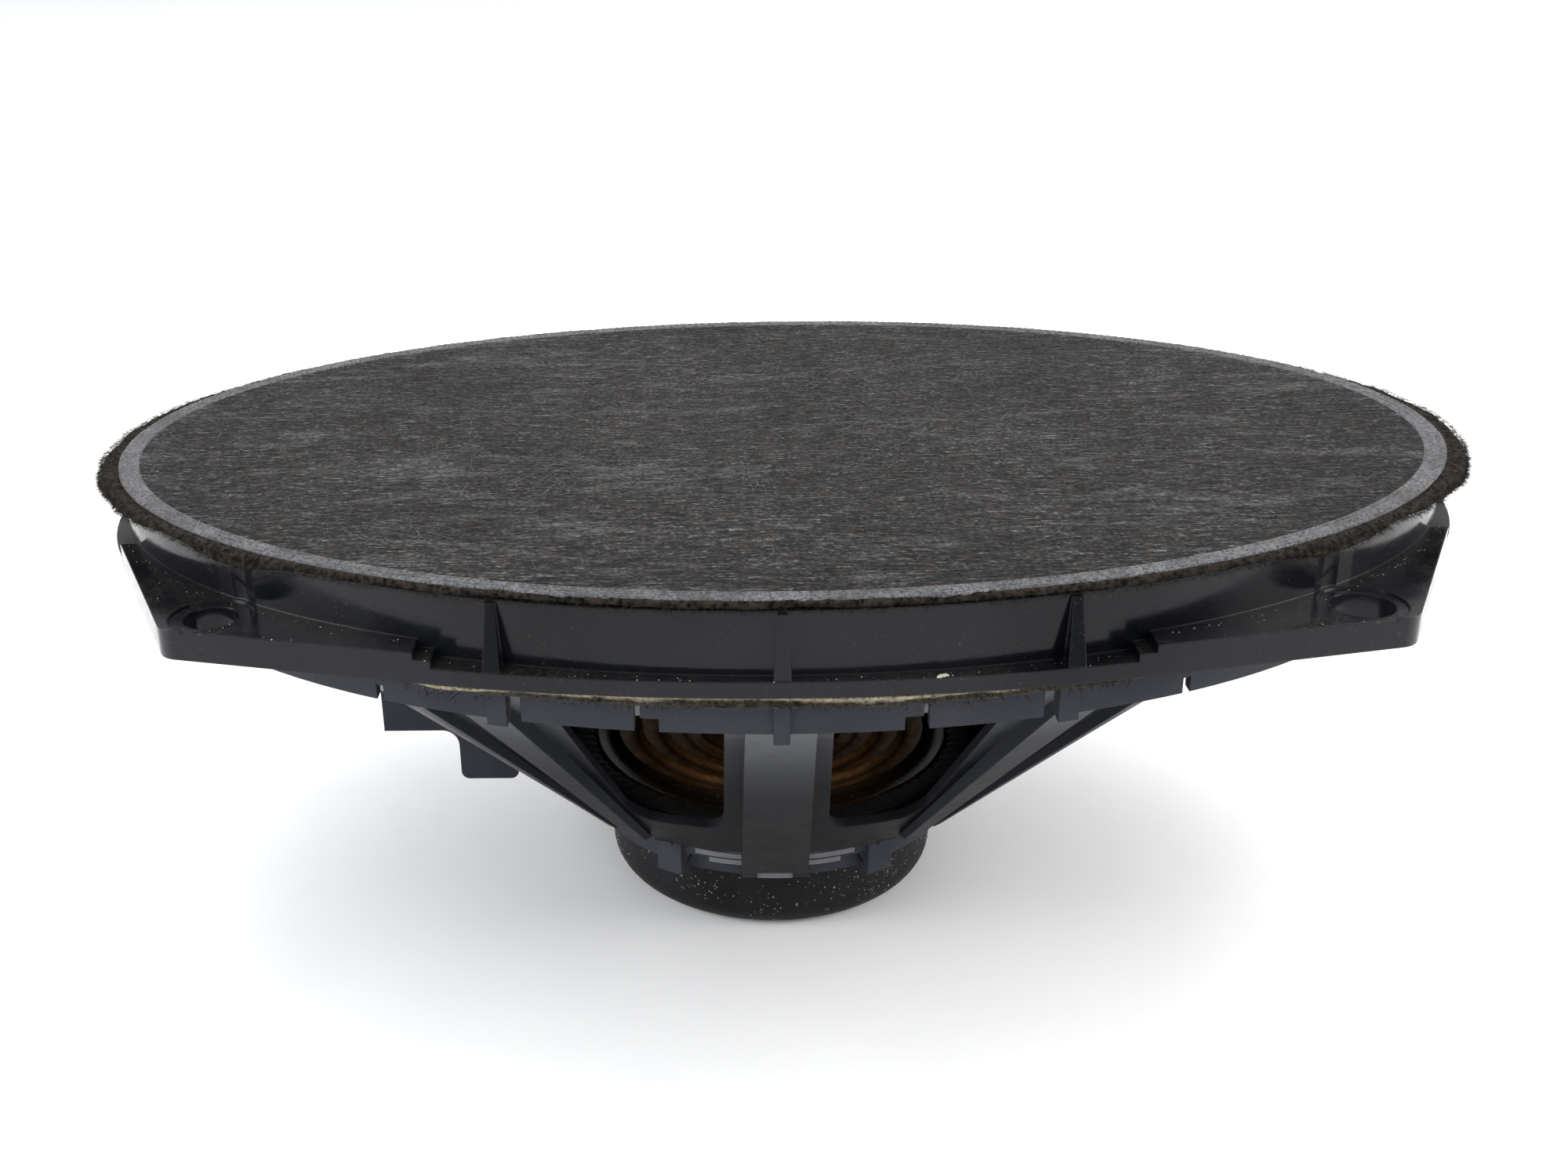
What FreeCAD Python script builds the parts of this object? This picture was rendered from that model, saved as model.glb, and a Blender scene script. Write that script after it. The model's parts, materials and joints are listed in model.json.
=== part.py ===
"""Six-by-nine-inch coaxial car loudspeaker with a cloth-covered front.

Millimetres, +Z up.  The origin is the centre of the motor's flat rear face, so the
loudspeaker stands on its motor with the front cloth on top.  X is the long axis of the
oval.  The oval parts are symmetric about both vertical mid-planes, apart from the
connector on the -X side.
"""
import FreeCAD
import Part
import math
import os

V = FreeCAD.Vector
UP = V(0, 0, 1)

# ---------------------------------------------------------------- driving dimensions
# Front stack, from the mounting flange up.
FLANGE_BOTTOM = 70.5
FLANGE_TOP = 72.9
EAR_TOP = 75.1
RIM_TOP = 82.4
FELT_TOP = 83.4
SCRIM_TOP = 83.9

# Oval outlines, as (half length along X, half width along Y).
SCRIM_OVAL = (112.0, 77.5)
FELT_OVAL = (115.0, 78.2)
FELT_INNER_OVAL = (105.0, 70.5)
SKIRT_OVAL = (111.5, 77.0)
SKIRT_WALL = 2.5
LEDGE_OVAL = (103.0, 69.0)
RING_OVAL = (107.0, 74.0)
RING_WALL = 2.2
RING_BOTTOM = 62.5
RING_TAB = 0.6
RING_TAB_DROP = (1.4, 0.8)
MIDDLE_TAB_X = (-1.15, 1.15)
OUTER_TAB_X = (38.6, 41.6)
GASKET_WIDTH = 4.0
GASKET_BOTTOM = 68.1

# Notches in the ring's lower edge, one quadrant, as (from X, to X, top of the notch).
RING_NOTCHES = ((17.0, 20.4, 64.5), (19.6, 20.4, 68.0), (36.6, 38.4, 69.2), (57.5, 58.6, 64.9),
                (86.0, 87.2, 64.9))

# Gussets between skirt and flange, one quadrant, as (X, skirt face Y, foot's edge Y).
GUSSETS = ((0.0, 77.0, 78.8), (39.5, 72.0, 75.2))
GUSSET_HALF = (1.2, 0.65)
GUSSET_TOP = RIM_TOP - 0.3
END_GUSSET_X = (110.5, 113.2, 112.2)
END_GUSSET_HALF = 0.9

# Flange outline, one quadrant; the others are mirror images.
FLANGE_HALF_WIDTH = 79.1
EAR_STEP = (50.5, 73.3)
EAR_CORNER = (88.4, 64.5)
EAR_CORNER_R = 4.0
EAR_END = (105.4, 30.7)
FLANGE_HALF_LENGTH = 113.4

# Mounting holes: round at the connector end, larger at the other end.
HOLE_X = 82.2
HOLE_Y = 59.8
HOLE_R = {-1: 4.0, 1: 4.4}
SPOT_FACE_R = 6.1
SPOT_FACE_DEPTH = 0.35
POCKET_R = 6.8
POCKET_WALL = 1.8

# Basket bowl: stations of its outer face as (height, half length, half width).
BOWL = ((21.0, 42.0, 38.0), (54.0, 85.5, 59.3), (66.0, 103.5, 70.0), (70.5, 106.5, 73.4))
BOWL_WALL = (3.4, 2.6)

# Windows in the bowl, as seen along Y.
WINDOW_BOTTOM = 28.5
WINDOW_TOP = 60.0
WINDOW_SPOKE_EDGE = (8.5, 8.0)
WINDOW_ARM_EDGE = (23.6, 34.8)
WINDOW_CORNER_R = 3.0

# Centre spokes, foot and head, as (half width, inner Y, outer Y, height).
SPOKE_FOOT = (5.65, 31.0, 34.6, 14.2)
SPOKE_HEAD = (5.05, 62.0, 72.6, 63.0)
SPOKE_NOTCH_HALF = 3.1
SPOKE_NOTCH_TOP = 15.9

# Arms beside the windows, as (foot angles, head angles, how far they stand proud).
ARMS = (((56.5, 61.0), (59.6, 64.6), 1.6), ((50.0, 52.0), (50.5, 52.0), 0.8))
ARM_Z = (22.0, 65.0)
ARM_ROOT = -2.4

# Snap clips that hang from the motor seat, at these angles from the Y axis.
CLIP_ANGLES = (30.0, -30.0, 150.0, -150.0)
CLIP_HALF = 2.4
CLIP_DEPTH = (33.2, 36.2)
CLIP_Z = (13.4, 24.0)
CLIP_STUB = ((-1.2, 2.2), (36.0, 39.0), (20.6, 23.4))
CLIP_WEB_REACH = 5.4
CLIP_WEB_Z = (15.0, 22.0)

# Motor seat in the basket.
SEAT_BOTTOM = 14.0
SEAT_STEP = 17.6
SEAT_OUTER_R = (33.6, 35.4)
SEAT_BORE_R = 28.3
SEAT_FLOOR = (19.6, 21.6)
SEAT_HOLE_R = 24.0
LANDING_TOP = 24.6
LANDING_BORE_R = 32.9

# Motor.
BOOT_R = 30.0
BOOT_WALL = 1.5
BOOT_TOP = 13.8
BOOT_EDGE_R = 5.2
MAGNET_R = 28.0
MAGNET_BORE_R = 15.5
YOKE_BOTTOM = 1.6
YOKE_TOP = 6.6
MAGNET_TOP = 15.6
TOP_PLATE_TOP = 19.6
TOP_PLATE_BORE_R = 14.1
POLE_R = 12.3
POLE_TOP = 21.5
RIVET_PCD_R = 26.0

# Voice coil and the parts that it drives.
FORMER_R = (12.75, 13.05)
FORMER_Z = (11.6, 34.0)
COIL_R = (13.08, 13.65)
COIL_Z = (12.4, 22.8)
DUST_SEAL_Z = (29.0, 31.5)
CONE_NECK = (33.0, 13.1)
CONE_MOUTH = (72.4, 91.0, 57.0)
CONE_WALL = 0.8

# Suspension.
SPIDER_R = (13.35, 15.0, 32.4, 37.0)
SPIDER_Z = 25.4
SPIDER_WAVES = 4
SPIDER_WAVE_HEIGHT = 1.2
CLOTH = 0.5
SURROUND_OVAL = (96.9, 62.9)
SURROUND_ROLL_R = 4.4
SURROUND_LIP = 5.2

# Tweeter on its post.
POST_R = 4.0
POST_STUD_R = 3.0
HOUSING_R = 19.0
HOUSING_Z = (56.0, 73.0)
TWEETER_YOKE_R = 12.0
TWEETER_YOKE_Z = (64.5, 72.2)
TWEETER_COIL_R = (9.0, 9.4)
DOME_BASE = 72.9
GUARD_Z = (77.7, 79.2)
GUARD_BAR_HALF = 0.9
TWEETER_HOLE = (-13.5, 3.0)

# Connector on the -X side of the bowl.
SOCKET_X = (-71.3, -56.8)
SOCKET_BOTTOM = 28.6
SOCKET_WALL = 1.6
SOCKET_DEPTH = 8.8
SOCKET_HEIGHT = 6.4
FOOT_X = (-57.1, -46.9)
FOOT_BOTTOM = 18.5
CONNECTOR_HALF_WIDTH = 7.0
PIN_Y = 3.2
PIN_SECTION = (2.8, 0.8)
PIN_Z = 33.0
PIN_TIP_X = -66.5
TAG_X = -60.8
TAG_TOP = 46.0

EYELET = (26.0, 7.0)
LEAD_R = 0.7


# ---------------------------------------------------------------- shape helpers
def oval_wire(half_x, half_y, z):
    """Closed oval in a horizontal plane; a circle when both halves are equal."""
    centre = V(0, 0, z)
    if abs(half_x - half_y) < 1e-6:
        return Part.Wire(Part.Circle(centre, UP, half_x).toShape())
    return Part.Wire(Part.Ellipse(centre, half_x, half_y).toShape())


def oval(half_x, half_y, z0, z1):
    return Part.Face(oval_wire(half_x, half_y, z0)).extrude(V(0, 0, z1 - z0))


def oval_ring(outer, inner, z0, z1):
    return oval(outer[0], outer[1], z0, z1).cut(oval(inner[0], inner[1], z0 - 1, z1 + 1))


def disc(radius, z0, z1, x=0.0, y=0.0):
    return Part.makeCylinder(radius, z1 - z0, V(x, y, z0))


def tube(outer, inner, z0, z1):
    return disc(outer, z0, z1).cut(disc(inner, z0 - 1, z1 + 1))


def block(x, y, z):
    """Box from three (low, high) pairs."""
    low = V(min(x), min(y), min(z))
    return Part.makeBox(abs(x[1] - x[0]), abs(y[1] - y[0]), abs(z[1] - z[0]), low)


def polygon(points):
    return Part.makePolygon([V(*p) for p in points + [points[0]]])


def prism(points, direction):
    return Part.Face(polygon(points)).extrude(V(*direction))


def join(shapes):
    whole = shapes[0]
    for shape in shapes[1:]:
        whole = whole.fuse(shape)
    return whole


def about_z(shape, degrees):
    turned = shape.copy()
    turned.rotate(V(0, 0, 0), UP, degrees)
    return turned


def mirrored(shape, flip_x, flip_y):
    """Copy of a shape, mirrored to the chosen sides of the two mid-planes."""
    result = shape
    if flip_x:
        result = result.mirror(V(0, 0, 0), V(1, 0, 0))
    if flip_y:
        result = result.mirror(V(0, 0, 0), V(0, 1, 0))
    return result


def four_ways(shape):
    return [mirrored(shape, fx, fy) for fx in (False, True) for fy in (False, True)]


def two_ways(shape):
    """The shape and its mirror image on the other long side."""
    return [shape, mirrored(shape, False, True)]


def revolved(edges):
    """Solid of revolution about Z of a closed profile in the XZ plane."""
    return Part.Face(Part.Wire(edges)).revolve(V(0, 0, 0), UP, 360)


def line(p, q):
    return Part.LineSegment(V(*p), V(*q)).toShape()


def arc(p, q, r):
    return Part.Arc(V(*p), V(*q), V(*r)).toShape()


def profile(points):
    """Closed XZ profile edges from (radius, height) points."""
    ring = points + [points[0]]
    return [line((a[0], 0, a[1]), (b[0], 0, b[1])) for a, b in zip(ring, ring[1:])]


def lead(points, radius):
    """Round lead along straight runs that tangent arcs join."""
    pts = [V(*p) for p in points]
    edges = []
    start = pts[0]
    for before, corner, after in zip(pts, pts[1:], pts[2:]):
        run = 0.45 * min((corner - before).Length, (after - corner).Length)
        arrive = (corner - before).normalize()
        leave = (after - corner).normalize()
        first = corner - arrive * run
        last = corner + leave * run
        turn = arrive.getAngle(leave)
        bend = run / math.tan(turn / 2)
        inward = (leave - arrive).normalize()
        centre = corner + inward * (bend / math.cos(turn / 2))
        edges.append(Part.LineSegment(start, first).toShape())
        edges.append(Part.Arc(first, centre - inward * bend, last).toShape())
        start = last
    edges.append(Part.LineSegment(start, pts[-1]).toShape())
    path = Part.Wire(edges)
    heading = (pts[1] - pts[0]).normalize()
    section = Part.Wire(Part.Circle(pts[0], heading, radius).toShape())
    return path.makePipeShell([section], True, False)


# ---------------------------------------------------------------- basket
def bowl_at(z, grow=0.0):
    """Half length and half width of the bowl's outer face at a height."""
    for low, high in zip(BOWL, BOWL[1:]):
        if z <= high[0]:
            break
    t = (z - low[0]) / (high[0] - low[0])
    return (low[1] + (high[1] - low[1]) * t + grow, low[2] + (high[2] - low[2]) * t + grow)


def bowl_solid(grow_x, grow_y):
    """Filled bowl, its outer face moved out by the given amounts."""
    parts = []
    for low, high in zip(BOWL, BOWL[1:]):
        wires = [oval_wire(s[1] + grow_x, s[2] + grow_y, s[0]) for s in (low, high)]
        parts.append(Part.makeLoft(wires, True, True))
    return join(parts)


def flange_outline():
    """Outer outline of the flange with its four ears, as one closed wire."""
    sx, sy = EAR_STEP
    ex, ey = EAR_END
    cx, cy = EAR_CORNER

    def corner(side_x, side_y):
        tip = V(cx * side_x, cy * side_y, 0)
        toward_side = (V(sx * side_x, sy * side_y, 0) - tip).normalize()
        toward_end = (V(ex * side_x, ey * side_y, 0) - tip).normalize()
        half = toward_side.getAngle(toward_end) / 2
        reach = EAR_CORNER_R / math.tan(half)
        inward = (toward_side + toward_end).normalize()
        centre = tip + inward * (EAR_CORNER_R / math.sin(half))
        return tip + toward_side * reach, centre - inward * EAR_CORNER_R, tip + toward_end * reach

    edges = []
    for side_y in (-1, 1):
        for side_x in (-1, 1):
            near, middle, far = corner(side_x, side_y)
            edges.append(Part.Arc(near, middle, far).toShape())
            edges.append(Part.LineSegment(V(sx * side_x, sy * side_y, 0), near).toShape())
            edges.append(Part.LineSegment(far, V(ex * side_x, ey * side_y, 0)).toShape())
        edges.append(arc((-sx, sy * side_y, 0), (0, FLANGE_HALF_WIDTH * side_y, 0),
                         (sx, sy * side_y, 0)))
    for side_x in (-1, 1):
        edges.append(arc((ex * side_x, -ey, 0), (FLANGE_HALF_LENGTH * side_x, 0, 0),
                         (ex * side_x, ey, 0)))
    return Part.Wire(Part.__sortEdges__(edges))


def flange_plate(z0, z1):
    plate = Part.Face(flange_outline()).extrude(V(0, 0, z1 - z0))
    plate.translate(V(0, 0, z0))
    return plate


def flange_and_ears():
    plate = flange_plate(FLANGE_BOTTOM, FLANGE_TOP)
    raised = flange_plate(FLANGE_BOTTOM, EAR_TOP)
    ears = [raised.common(b) for b in
            four_ways(block((EAR_STEP[0], 125), (30, 90), (FLANGE_BOTTOM, EAR_TOP)))]
    lip = flange_plate(FLANGE_TOP, EAR_TOP)
    trims = [lip.common(b) for b in
             four_ways(block((EAR_STEP[0] - 2.5, EAR_STEP[0]), (60, 90), (FLANGE_TOP, 74.0)))]
    opening = oval(LEDGE_OVAL[0], LEDGE_OVAL[1], FLANGE_BOTTOM - 1, RIM_TOP)
    inside = oval(SKIRT_OVAL[0] - SKIRT_WALL, SKIRT_OVAL[1] - SKIRT_WALL, FLANGE_TOP, RIM_TOP)
    return join([plate] + ears + trims).cut(opening).cut(inside)


def skirt():
    inner = (SKIRT_OVAL[0] - SKIRT_WALL, SKIRT_OVAL[1] - SKIRT_WALL)
    wall = oval_ring(SKIRT_OVAL, inner, FLANGE_BOTTOM, RIM_TOP)
    seat = disc(POCKET_R + POCKET_WALL, FLANGE_BOTTOM, RIM_TOP, HOLE_X, HOLE_Y)
    inside = oval(SKIRT_OVAL[0], SKIRT_OVAL[1], FLANGE_BOTTOM, RIM_TOP)
    room = oval(LEDGE_OVAL[0] + 1, LEDGE_OVAL[1] + 1, FLANGE_BOTTOM - 1, RIM_TOP + 1)
    backing = [s.common(inside).cut(room) for s in four_ways(seat)]
    return join([wall] + backing)


def gussets():
    """Thin ribs that brace the skirt against the flange, broader at the foot."""
    ribs = []
    top = GUSSET_TOP
    foot, head = GUSSET_HALF
    for x, wall_y, edge_y in GUSSETS:
        side = prism([(x - foot, wall_y - 1, FLANGE_TOP), (x - foot, edge_y, FLANGE_TOP),
                      (x - foot, wall_y + 0.7, top), (x - foot, wall_y - 1, top)], (2 * foot, 0, 0))
        front = prism([(x - foot, 60, FLANGE_TOP), (x + foot, 60, FLANGE_TOP), (x + head, 60, top),
                       (x - head, 60, top)], (0, 30, 0))
        rib = side.common(front)
        ribs += four_ways(rib) if x else two_ways(rib)
    back, edge, lip = END_GUSSET_X
    half = END_GUSSET_HALF
    end = [(back, -half, FLANGE_TOP), (edge, -half, FLANGE_TOP), (lip, -half, top),
           (back, -half, top)]
    rib = prism(end, (0, 2 * half, 0))
    return ribs + [rib, mirrored(rib, True, False)]


def locating_ring():
    """Castellated ring wall that centres the loudspeaker in the door cut-out."""
    inner = (RING_OVAL[0] - RING_WALL, RING_OVAL[1] - RING_WALL)
    ring = oval_ring(RING_OVAL, inner, RING_BOTTOM, FLANGE_BOTTOM)
    for start, stop, top in RING_NOTCHES:
        for cutter in four_ways(block((start, stop), (20, 80), (RING_BOTTOM - 1, top))):
            ring = ring.cut(cutter)
    long_drop, short_drop = RING_TAB_DROP
    band = oval_ring((RING_OVAL[0] + RING_TAB, RING_OVAL[1] + RING_TAB), inner,
                     RING_BOTTOM - long_drop, FLANGE_BOTTOM)
    middle = block(MIDDLE_TAB_X, (60, 80), (RING_BOTTOM - long_drop, FLANGE_BOTTOM))
    outer = block(OUTER_TAB_X, (60, 80), (RING_BOTTOM - short_drop, FLANGE_BOTTOM))
    tabs = [band.common(t) for t in two_ways(middle) + four_ways(outer)]
    return [ring] + tabs


def bowl_shell():
    hollow = bowl_solid(-BOWL_WALL[0], -BOWL_WALL[1])
    shell = bowl_solid(0, 0).cut(hollow)
    for window in windows():
        shell = shell.cut(window)
    joint = oval_ring((RING_OVAL[0] - 0.5, RING_OVAL[1] - 0.5),
                      (LEDGE_OVAL[0], LEDGE_OVAL[1]), 68.6, FLANGE_BOTTOM)
    return [shell, joint]


def windows():
    """Cutters for the four openings, each between the centre spoke and an arm."""
    low_in, high_in = WINDOW_SPOKE_EDGE
    low_out, high_out = WINDOW_ARM_EDGE
    r = WINDOW_CORNER_R
    slope = (high_out - low_out) / (WINDOW_TOP - WINDOW_BOTTOM)
    near = 30.0
    base = WINDOW_BOTTOM
    k = r * (1 - math.sqrt(0.5))
    edges = [
        line((high_in, near, WINDOW_TOP), (low_in, near, base + r)),
        arc((low_in, near, base + r), (low_in + k, near, base + k), (low_in + r, near, base)),
        line((low_in + r, near, base), (low_out - r, near, base)),
        arc((low_out - r, near, base), (low_out - k, near, base + k + 0.25),
            (low_out + slope * r, near, base + r)),
        line((low_out + slope * r, near, base + r), (high_out, near, WINDOW_TOP)),
        line((high_out, near, WINDOW_TOP), (high_in, near, WINDOW_TOP)),
    ]
    opening = Part.Face(Part.Wire(edges)).extrude(V(0, 60, 0))
    return four_ways(opening)


def spoke_panels():
    """Raised centre panel on each long side, from the ring wall to the motor seat."""
    ends = []
    for half, inner, outer, z in (SPOKE_FOOT, SPOKE_HEAD):
        ends.append(polygon([(-half, inner, z), (half, inner, z), (half, outer, z), (-half, outer, z)]))
    return two_ways(Part.makeLoft(ends, True, True))


def bowl_point(z, degrees, out):
    """Point on the bowl's outer face, moved out horizontally."""
    half_x, half_y = bowl_at(z)
    angle = math.radians(degrees)
    return ((half_x + out) * math.cos(angle), (half_y + out) * math.sin(angle), z)


def arms():
    """Diagonal ribs: a broad one beside each window and a slim one behind it."""
    ribs = []
    for low, high, proud in ARMS:
        ends = []
        for z, (first, last) in zip(ARM_Z, (low, high)):
            ends.append(polygon([bowl_point(z, first, proud), bowl_point(z, last, proud),
                                 bowl_point(z, last, ARM_ROOT), bowl_point(z, first, ARM_ROOT)]))
        ribs += four_ways(Part.makeLoft(ends, True, True))
    return ribs


def motor_seat():
    """Stepped cup around the top plate, with the ledge that carries the spider."""
    cup = revolved(profile([
        (SEAT_BORE_R, SEAT_BOTTOM), (SEAT_OUTER_R[0], SEAT_BOTTOM), (SEAT_OUTER_R[0], SEAT_STEP),
        (SEAT_OUTER_R[1], SEAT_STEP), (SEAT_OUTER_R[1], SEAT_FLOOR[1]),
        (SEAT_HOLE_R, SEAT_FLOOR[1]), (SEAT_HOLE_R, SEAT_FLOOR[0]), (SEAT_BORE_R, SEAT_FLOOR[0])]))
    low = bowl_at(BOWL[0][0], -1.0)
    ledge = oval(low[0], low[1], BOWL[0][0], LANDING_TOP)
    ledge = ledge.cut(disc(LANDING_BORE_R, SEAT_FLOOR[1], LANDING_TOP + 1))
    ledge = ledge.cut(disc(SEAT_HOLE_R, 0, LANDING_TOP))
    return [cup, ledge]


def clips():
    """Snap clips that hang from the seat beside the motor, each with a web and a stub."""
    parts = []
    low, high = CLIP_WEB_Z
    depth = CLIP_DEPTH[0] + 0.2
    for angle in CLIP_ANGLES:
        clip = block((-CLIP_HALF, CLIP_HALF), CLIP_DEPTH, CLIP_Z)
        stub = block(*CLIP_STUB)
        web = prism([(CLIP_HALF, depth, high), (CLIP_WEB_REACH, depth, high),
                     (CLIP_HALF, depth, low)], (0, 1.6, 0))
        if angle in (-30.0, 150.0):
            web = mirrored(web, True, False)
            stub = mirrored(stub, True, False)
        parts += [about_z(s, angle) for s in (clip, stub, web)]
    return parts


def basket():
    """Bowl with its windows, spokes, motor seat, clips and locating ring."""
    spider_room = disc(SPIDER_R[3] + 0.4, LANDING_TOP, LANDING_TOP + 3)
    pieces = [piece.cut(spider_room) for piece in bowl_shell() + spoke_panels() + arms() + clips()]
    lower = join(pieces + motor_seat())
    cutters = two_ways(block((-SPOKE_NOTCH_HALF, SPOKE_NOTCH_HALF), (33.9, 40),
                             (BOOT_TOP - 2, SPOKE_NOTCH_TOP)))
    cutters += [block((TAG_X - 0.2, TAG_X + PIN_SECTION[1] + 0.2),
                      (s * PIN_Y - 1.6, s * PIN_Y + 1.6), (30, 42)) for s in (-1, 1)]
    cutters += [rivet_shank(angle) for angle in RIVET_ANGLES]
    for cutter in cutters:
        lower = lower.cut(cutter)
    return join([join(locating_ring()), lower]).removeSplitter()


def flange_frame():
    """Eared flange with the skirt that carries the cloth; it stands on the bowl's rim."""
    frame = join([flange_and_ears(), skirt()] + gussets())
    for sx in (-1, 1):
        for sy in (-1, 1):
            x, y = HOLE_X * sx, HOLE_Y * sy
            frame = frame.cut(disc(HOLE_R[sx], FLANGE_BOTTOM - 1, RIM_TOP + 1, x, y))
            frame = frame.cut(disc(SPOT_FACE_R, EAR_TOP - SPOT_FACE_DEPTH, EAR_TOP + 1, x, y))
            frame = frame.cut(disc(POCKET_R, EAR_TOP, RIM_TOP + 1, x, y))
    return frame.removeSplitter()


# ---------------------------------------------------------------- front cover
def felt_rim():
    return oval_ring(FELT_OVAL, FELT_INNER_OVAL, RIM_TOP, FELT_TOP)


def scrim_cover():
    return oval(SCRIM_OVAL[0], SCRIM_OVAL[1], FELT_TOP, SCRIM_TOP)


def mounting_gasket():
    """Foam strip under the flange, around the locating ring."""
    inner = (RING_OVAL[0] + RING_TAB + 0.15, RING_OVAL[1] + RING_TAB + 0.15)
    outer = (RING_OVAL[0] + GASKET_WIDTH, RING_OVAL[1] + GASKET_WIDTH)
    return oval_ring(outer, inner, GASKET_BOTTOM, FLANGE_BOTTOM)


# ---------------------------------------------------------------- connector
def pin(side):
    """One bent terminal: contact pin in the socket, solder tag inside the basket."""
    y = (side * PIN_Y - PIN_SECTION[0] / 2, side * PIN_Y + PIN_SECTION[0] / 2)
    contact = block((PIN_TIP_X, TAG_X + PIN_SECTION[1]), y, (PIN_Z, PIN_Z + PIN_SECTION[1]))
    tag = block((TAG_X, TAG_X + PIN_SECTION[1]), y, (PIN_Z, TAG_TOP))
    return contact.fuse(tag).removeSplitter()


def terminal_pins():
    return Part.makeCompound([pin(-1), pin(1)])


def connector_housing():
    """Socket for the harness plug, with a hollow foot beside it; open toward -X."""
    half = CONNECTOR_HALF_WIDTH
    w = SOCKET_WALL
    top = TAG_TOP + 2.0
    socket = block(SOCKET_X, (-half, half), (SOCKET_BOTTOM, top))
    foot = block((FOOT_X[0] - 0.5, FOOT_X[1]), (-half, half), (FOOT_BOTTOM, top))
    lower = [e for e in foot.Edges
             if e.BoundBox.ZMax < FOOT_BOTTOM + 0.01 and e.BoundBox.YLength > 1]
    foot = foot.makeFillet(1.5, lower)
    corner = block((FOOT_X[0] - 3.5, FOOT_X[0] + 1), (-half, half), (SOCKET_BOTTOM - 3, SOCKET_BOTTOM + 1))
    round_off = Part.makeCylinder(3.0, 2 * half + 2,
                                  V(FOOT_X[0] - 3.5, -half - 1, SOCKET_BOTTOM - 3), V(0, 1, 0))
    body = join([socket, foot, corner.cut(round_off)])
    floor = SOCKET_BOTTOM + w
    cavity = block((SOCKET_X[0] - 1, SOCKET_X[0] + SOCKET_DEPTH), (w - half, half - w),
                   (floor, floor + SOCKET_HEIGHT))
    key = block((SOCKET_X[0] - 1, SOCKET_X[0] + SOCKET_DEPTH), (-1.2, 1.2), (floor - 0.9, floor + 1))
    hollow = block((FOOT_X[0] + 2, FOOT_X[1] - 2), (2 - half, half - 2),
                   (FOOT_BOTTOM - 1, SOCKET_BOTTOM + 1))
    for cutter in (cavity, key, hollow, pin(-1), pin(1)):
        body = body.cut(cutter)
    return body.cut(bowl_solid(0.15, 0.15)).cut(disc(45, 10, 30))


# ---------------------------------------------------------------- motor
RIVET_ANGLES = (45, 135, 225, 315)


def rivet_shank(angle):
    return about_z(disc(1.5, MAGNET_TOP + 0.5, SEAT_FLOOR[1] + 0.1, RIVET_PCD_R, 0), angle)


def motor_rivets():
    """Four rivets that hold the basket down on the top plate."""
    rivets = []
    for angle in RIVET_ANGLES:
        shank = disc(1.45, MAGNET_TOP + 0.6, SEAT_FLOOR[1], RIVET_PCD_R, 0)
        head = disc(1.9, SEAT_FLOOR[1], SEAT_FLOOR[1] + 0.8, RIVET_PCD_R - 0.1, 0)
        rivets.append(about_z(shank.fuse(head), angle))
    return Part.makeCompound(rivets)


def magnet_boot():
    body = disc(BOOT_R, 0, BOOT_TOP)
    lower = [e for e in body.Edges if e.BoundBox.ZMax < 0.01]
    body = body.makeFillet(BOOT_EDGE_R, lower)
    room = disc(BOOT_R - BOOT_WALL, YOKE_BOTTOM - 0.05, BOOT_TOP + 1)
    lower = [e for e in room.Edges if e.BoundBox.ZMax < YOKE_BOTTOM]
    return body.cut(room.makeFillet(BOOT_EDGE_R - BOOT_WALL, lower))


def t_yoke():
    """Back plate and pole in one piece, bored for the tweeter post."""
    c = 3.4
    body = revolved(profile([
        (3.1, YOKE_BOTTOM + 3.6), (7.2, YOKE_BOTTOM + 3.6), (7.2, YOKE_BOTTOM),
        (MAGNET_R - c, YOKE_BOTTOM), (MAGNET_R, YOKE_BOTTOM + c), (MAGNET_R, YOKE_TOP),
        (POLE_R, YOKE_TOP), (POLE_R, POLE_TOP), (3.1, POLE_TOP)]))
    return body


def ferrite_magnet():
    return tube(MAGNET_R, MAGNET_BORE_R, YOKE_TOP, MAGNET_TOP)


def top_plate():
    plate = tube(MAGNET_R, TOP_PLATE_BORE_R, MAGNET_TOP, TOP_PLATE_TOP)
    for angle in RIVET_ANGLES:
        plate = plate.cut(rivet_shank(angle))
    return plate


# ---------------------------------------------------------------- suspension
def spider_ring():
    """Stiff ring with a toothed edge, glued on the basket's ledge under the spider."""
    return tube(SPIDER_R[3] + 0.2, LANDING_BORE_R + 0.1, LANDING_TOP, SPIDER_Z)


def spider():
    """Corrugated cloth disc: alternate arcs up and down, with flat inner and outer lands."""
    neck, first, last, rim = SPIDER_R
    step = (last - first) / (2 * SPIDER_WAVES)
    z = SPIDER_Z

    def skin(level):
        edges = [line((neck, 0, level), (first, 0, level))]
        for i in range(2 * SPIDER_WAVES):
            r = first + i * step
            swing = SPIDER_WAVE_HEIGHT * (1 if i % 2 == 0 else -0.55)
            edges.append(arc((r, 0, level), (r + step / 2, 0, level + swing), (r + step, 0, level)))
        return edges + [line((last, 0, level), (rim, 0, level))]

    ends = [line((neck, 0, z), (neck, 0, z + CLOTH)), line((rim, 0, z), (rim, 0, z + CLOTH))]
    return revolved(Part.__sortEdges__(skin(z) + skin(z + CLOTH) + ends))


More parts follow.
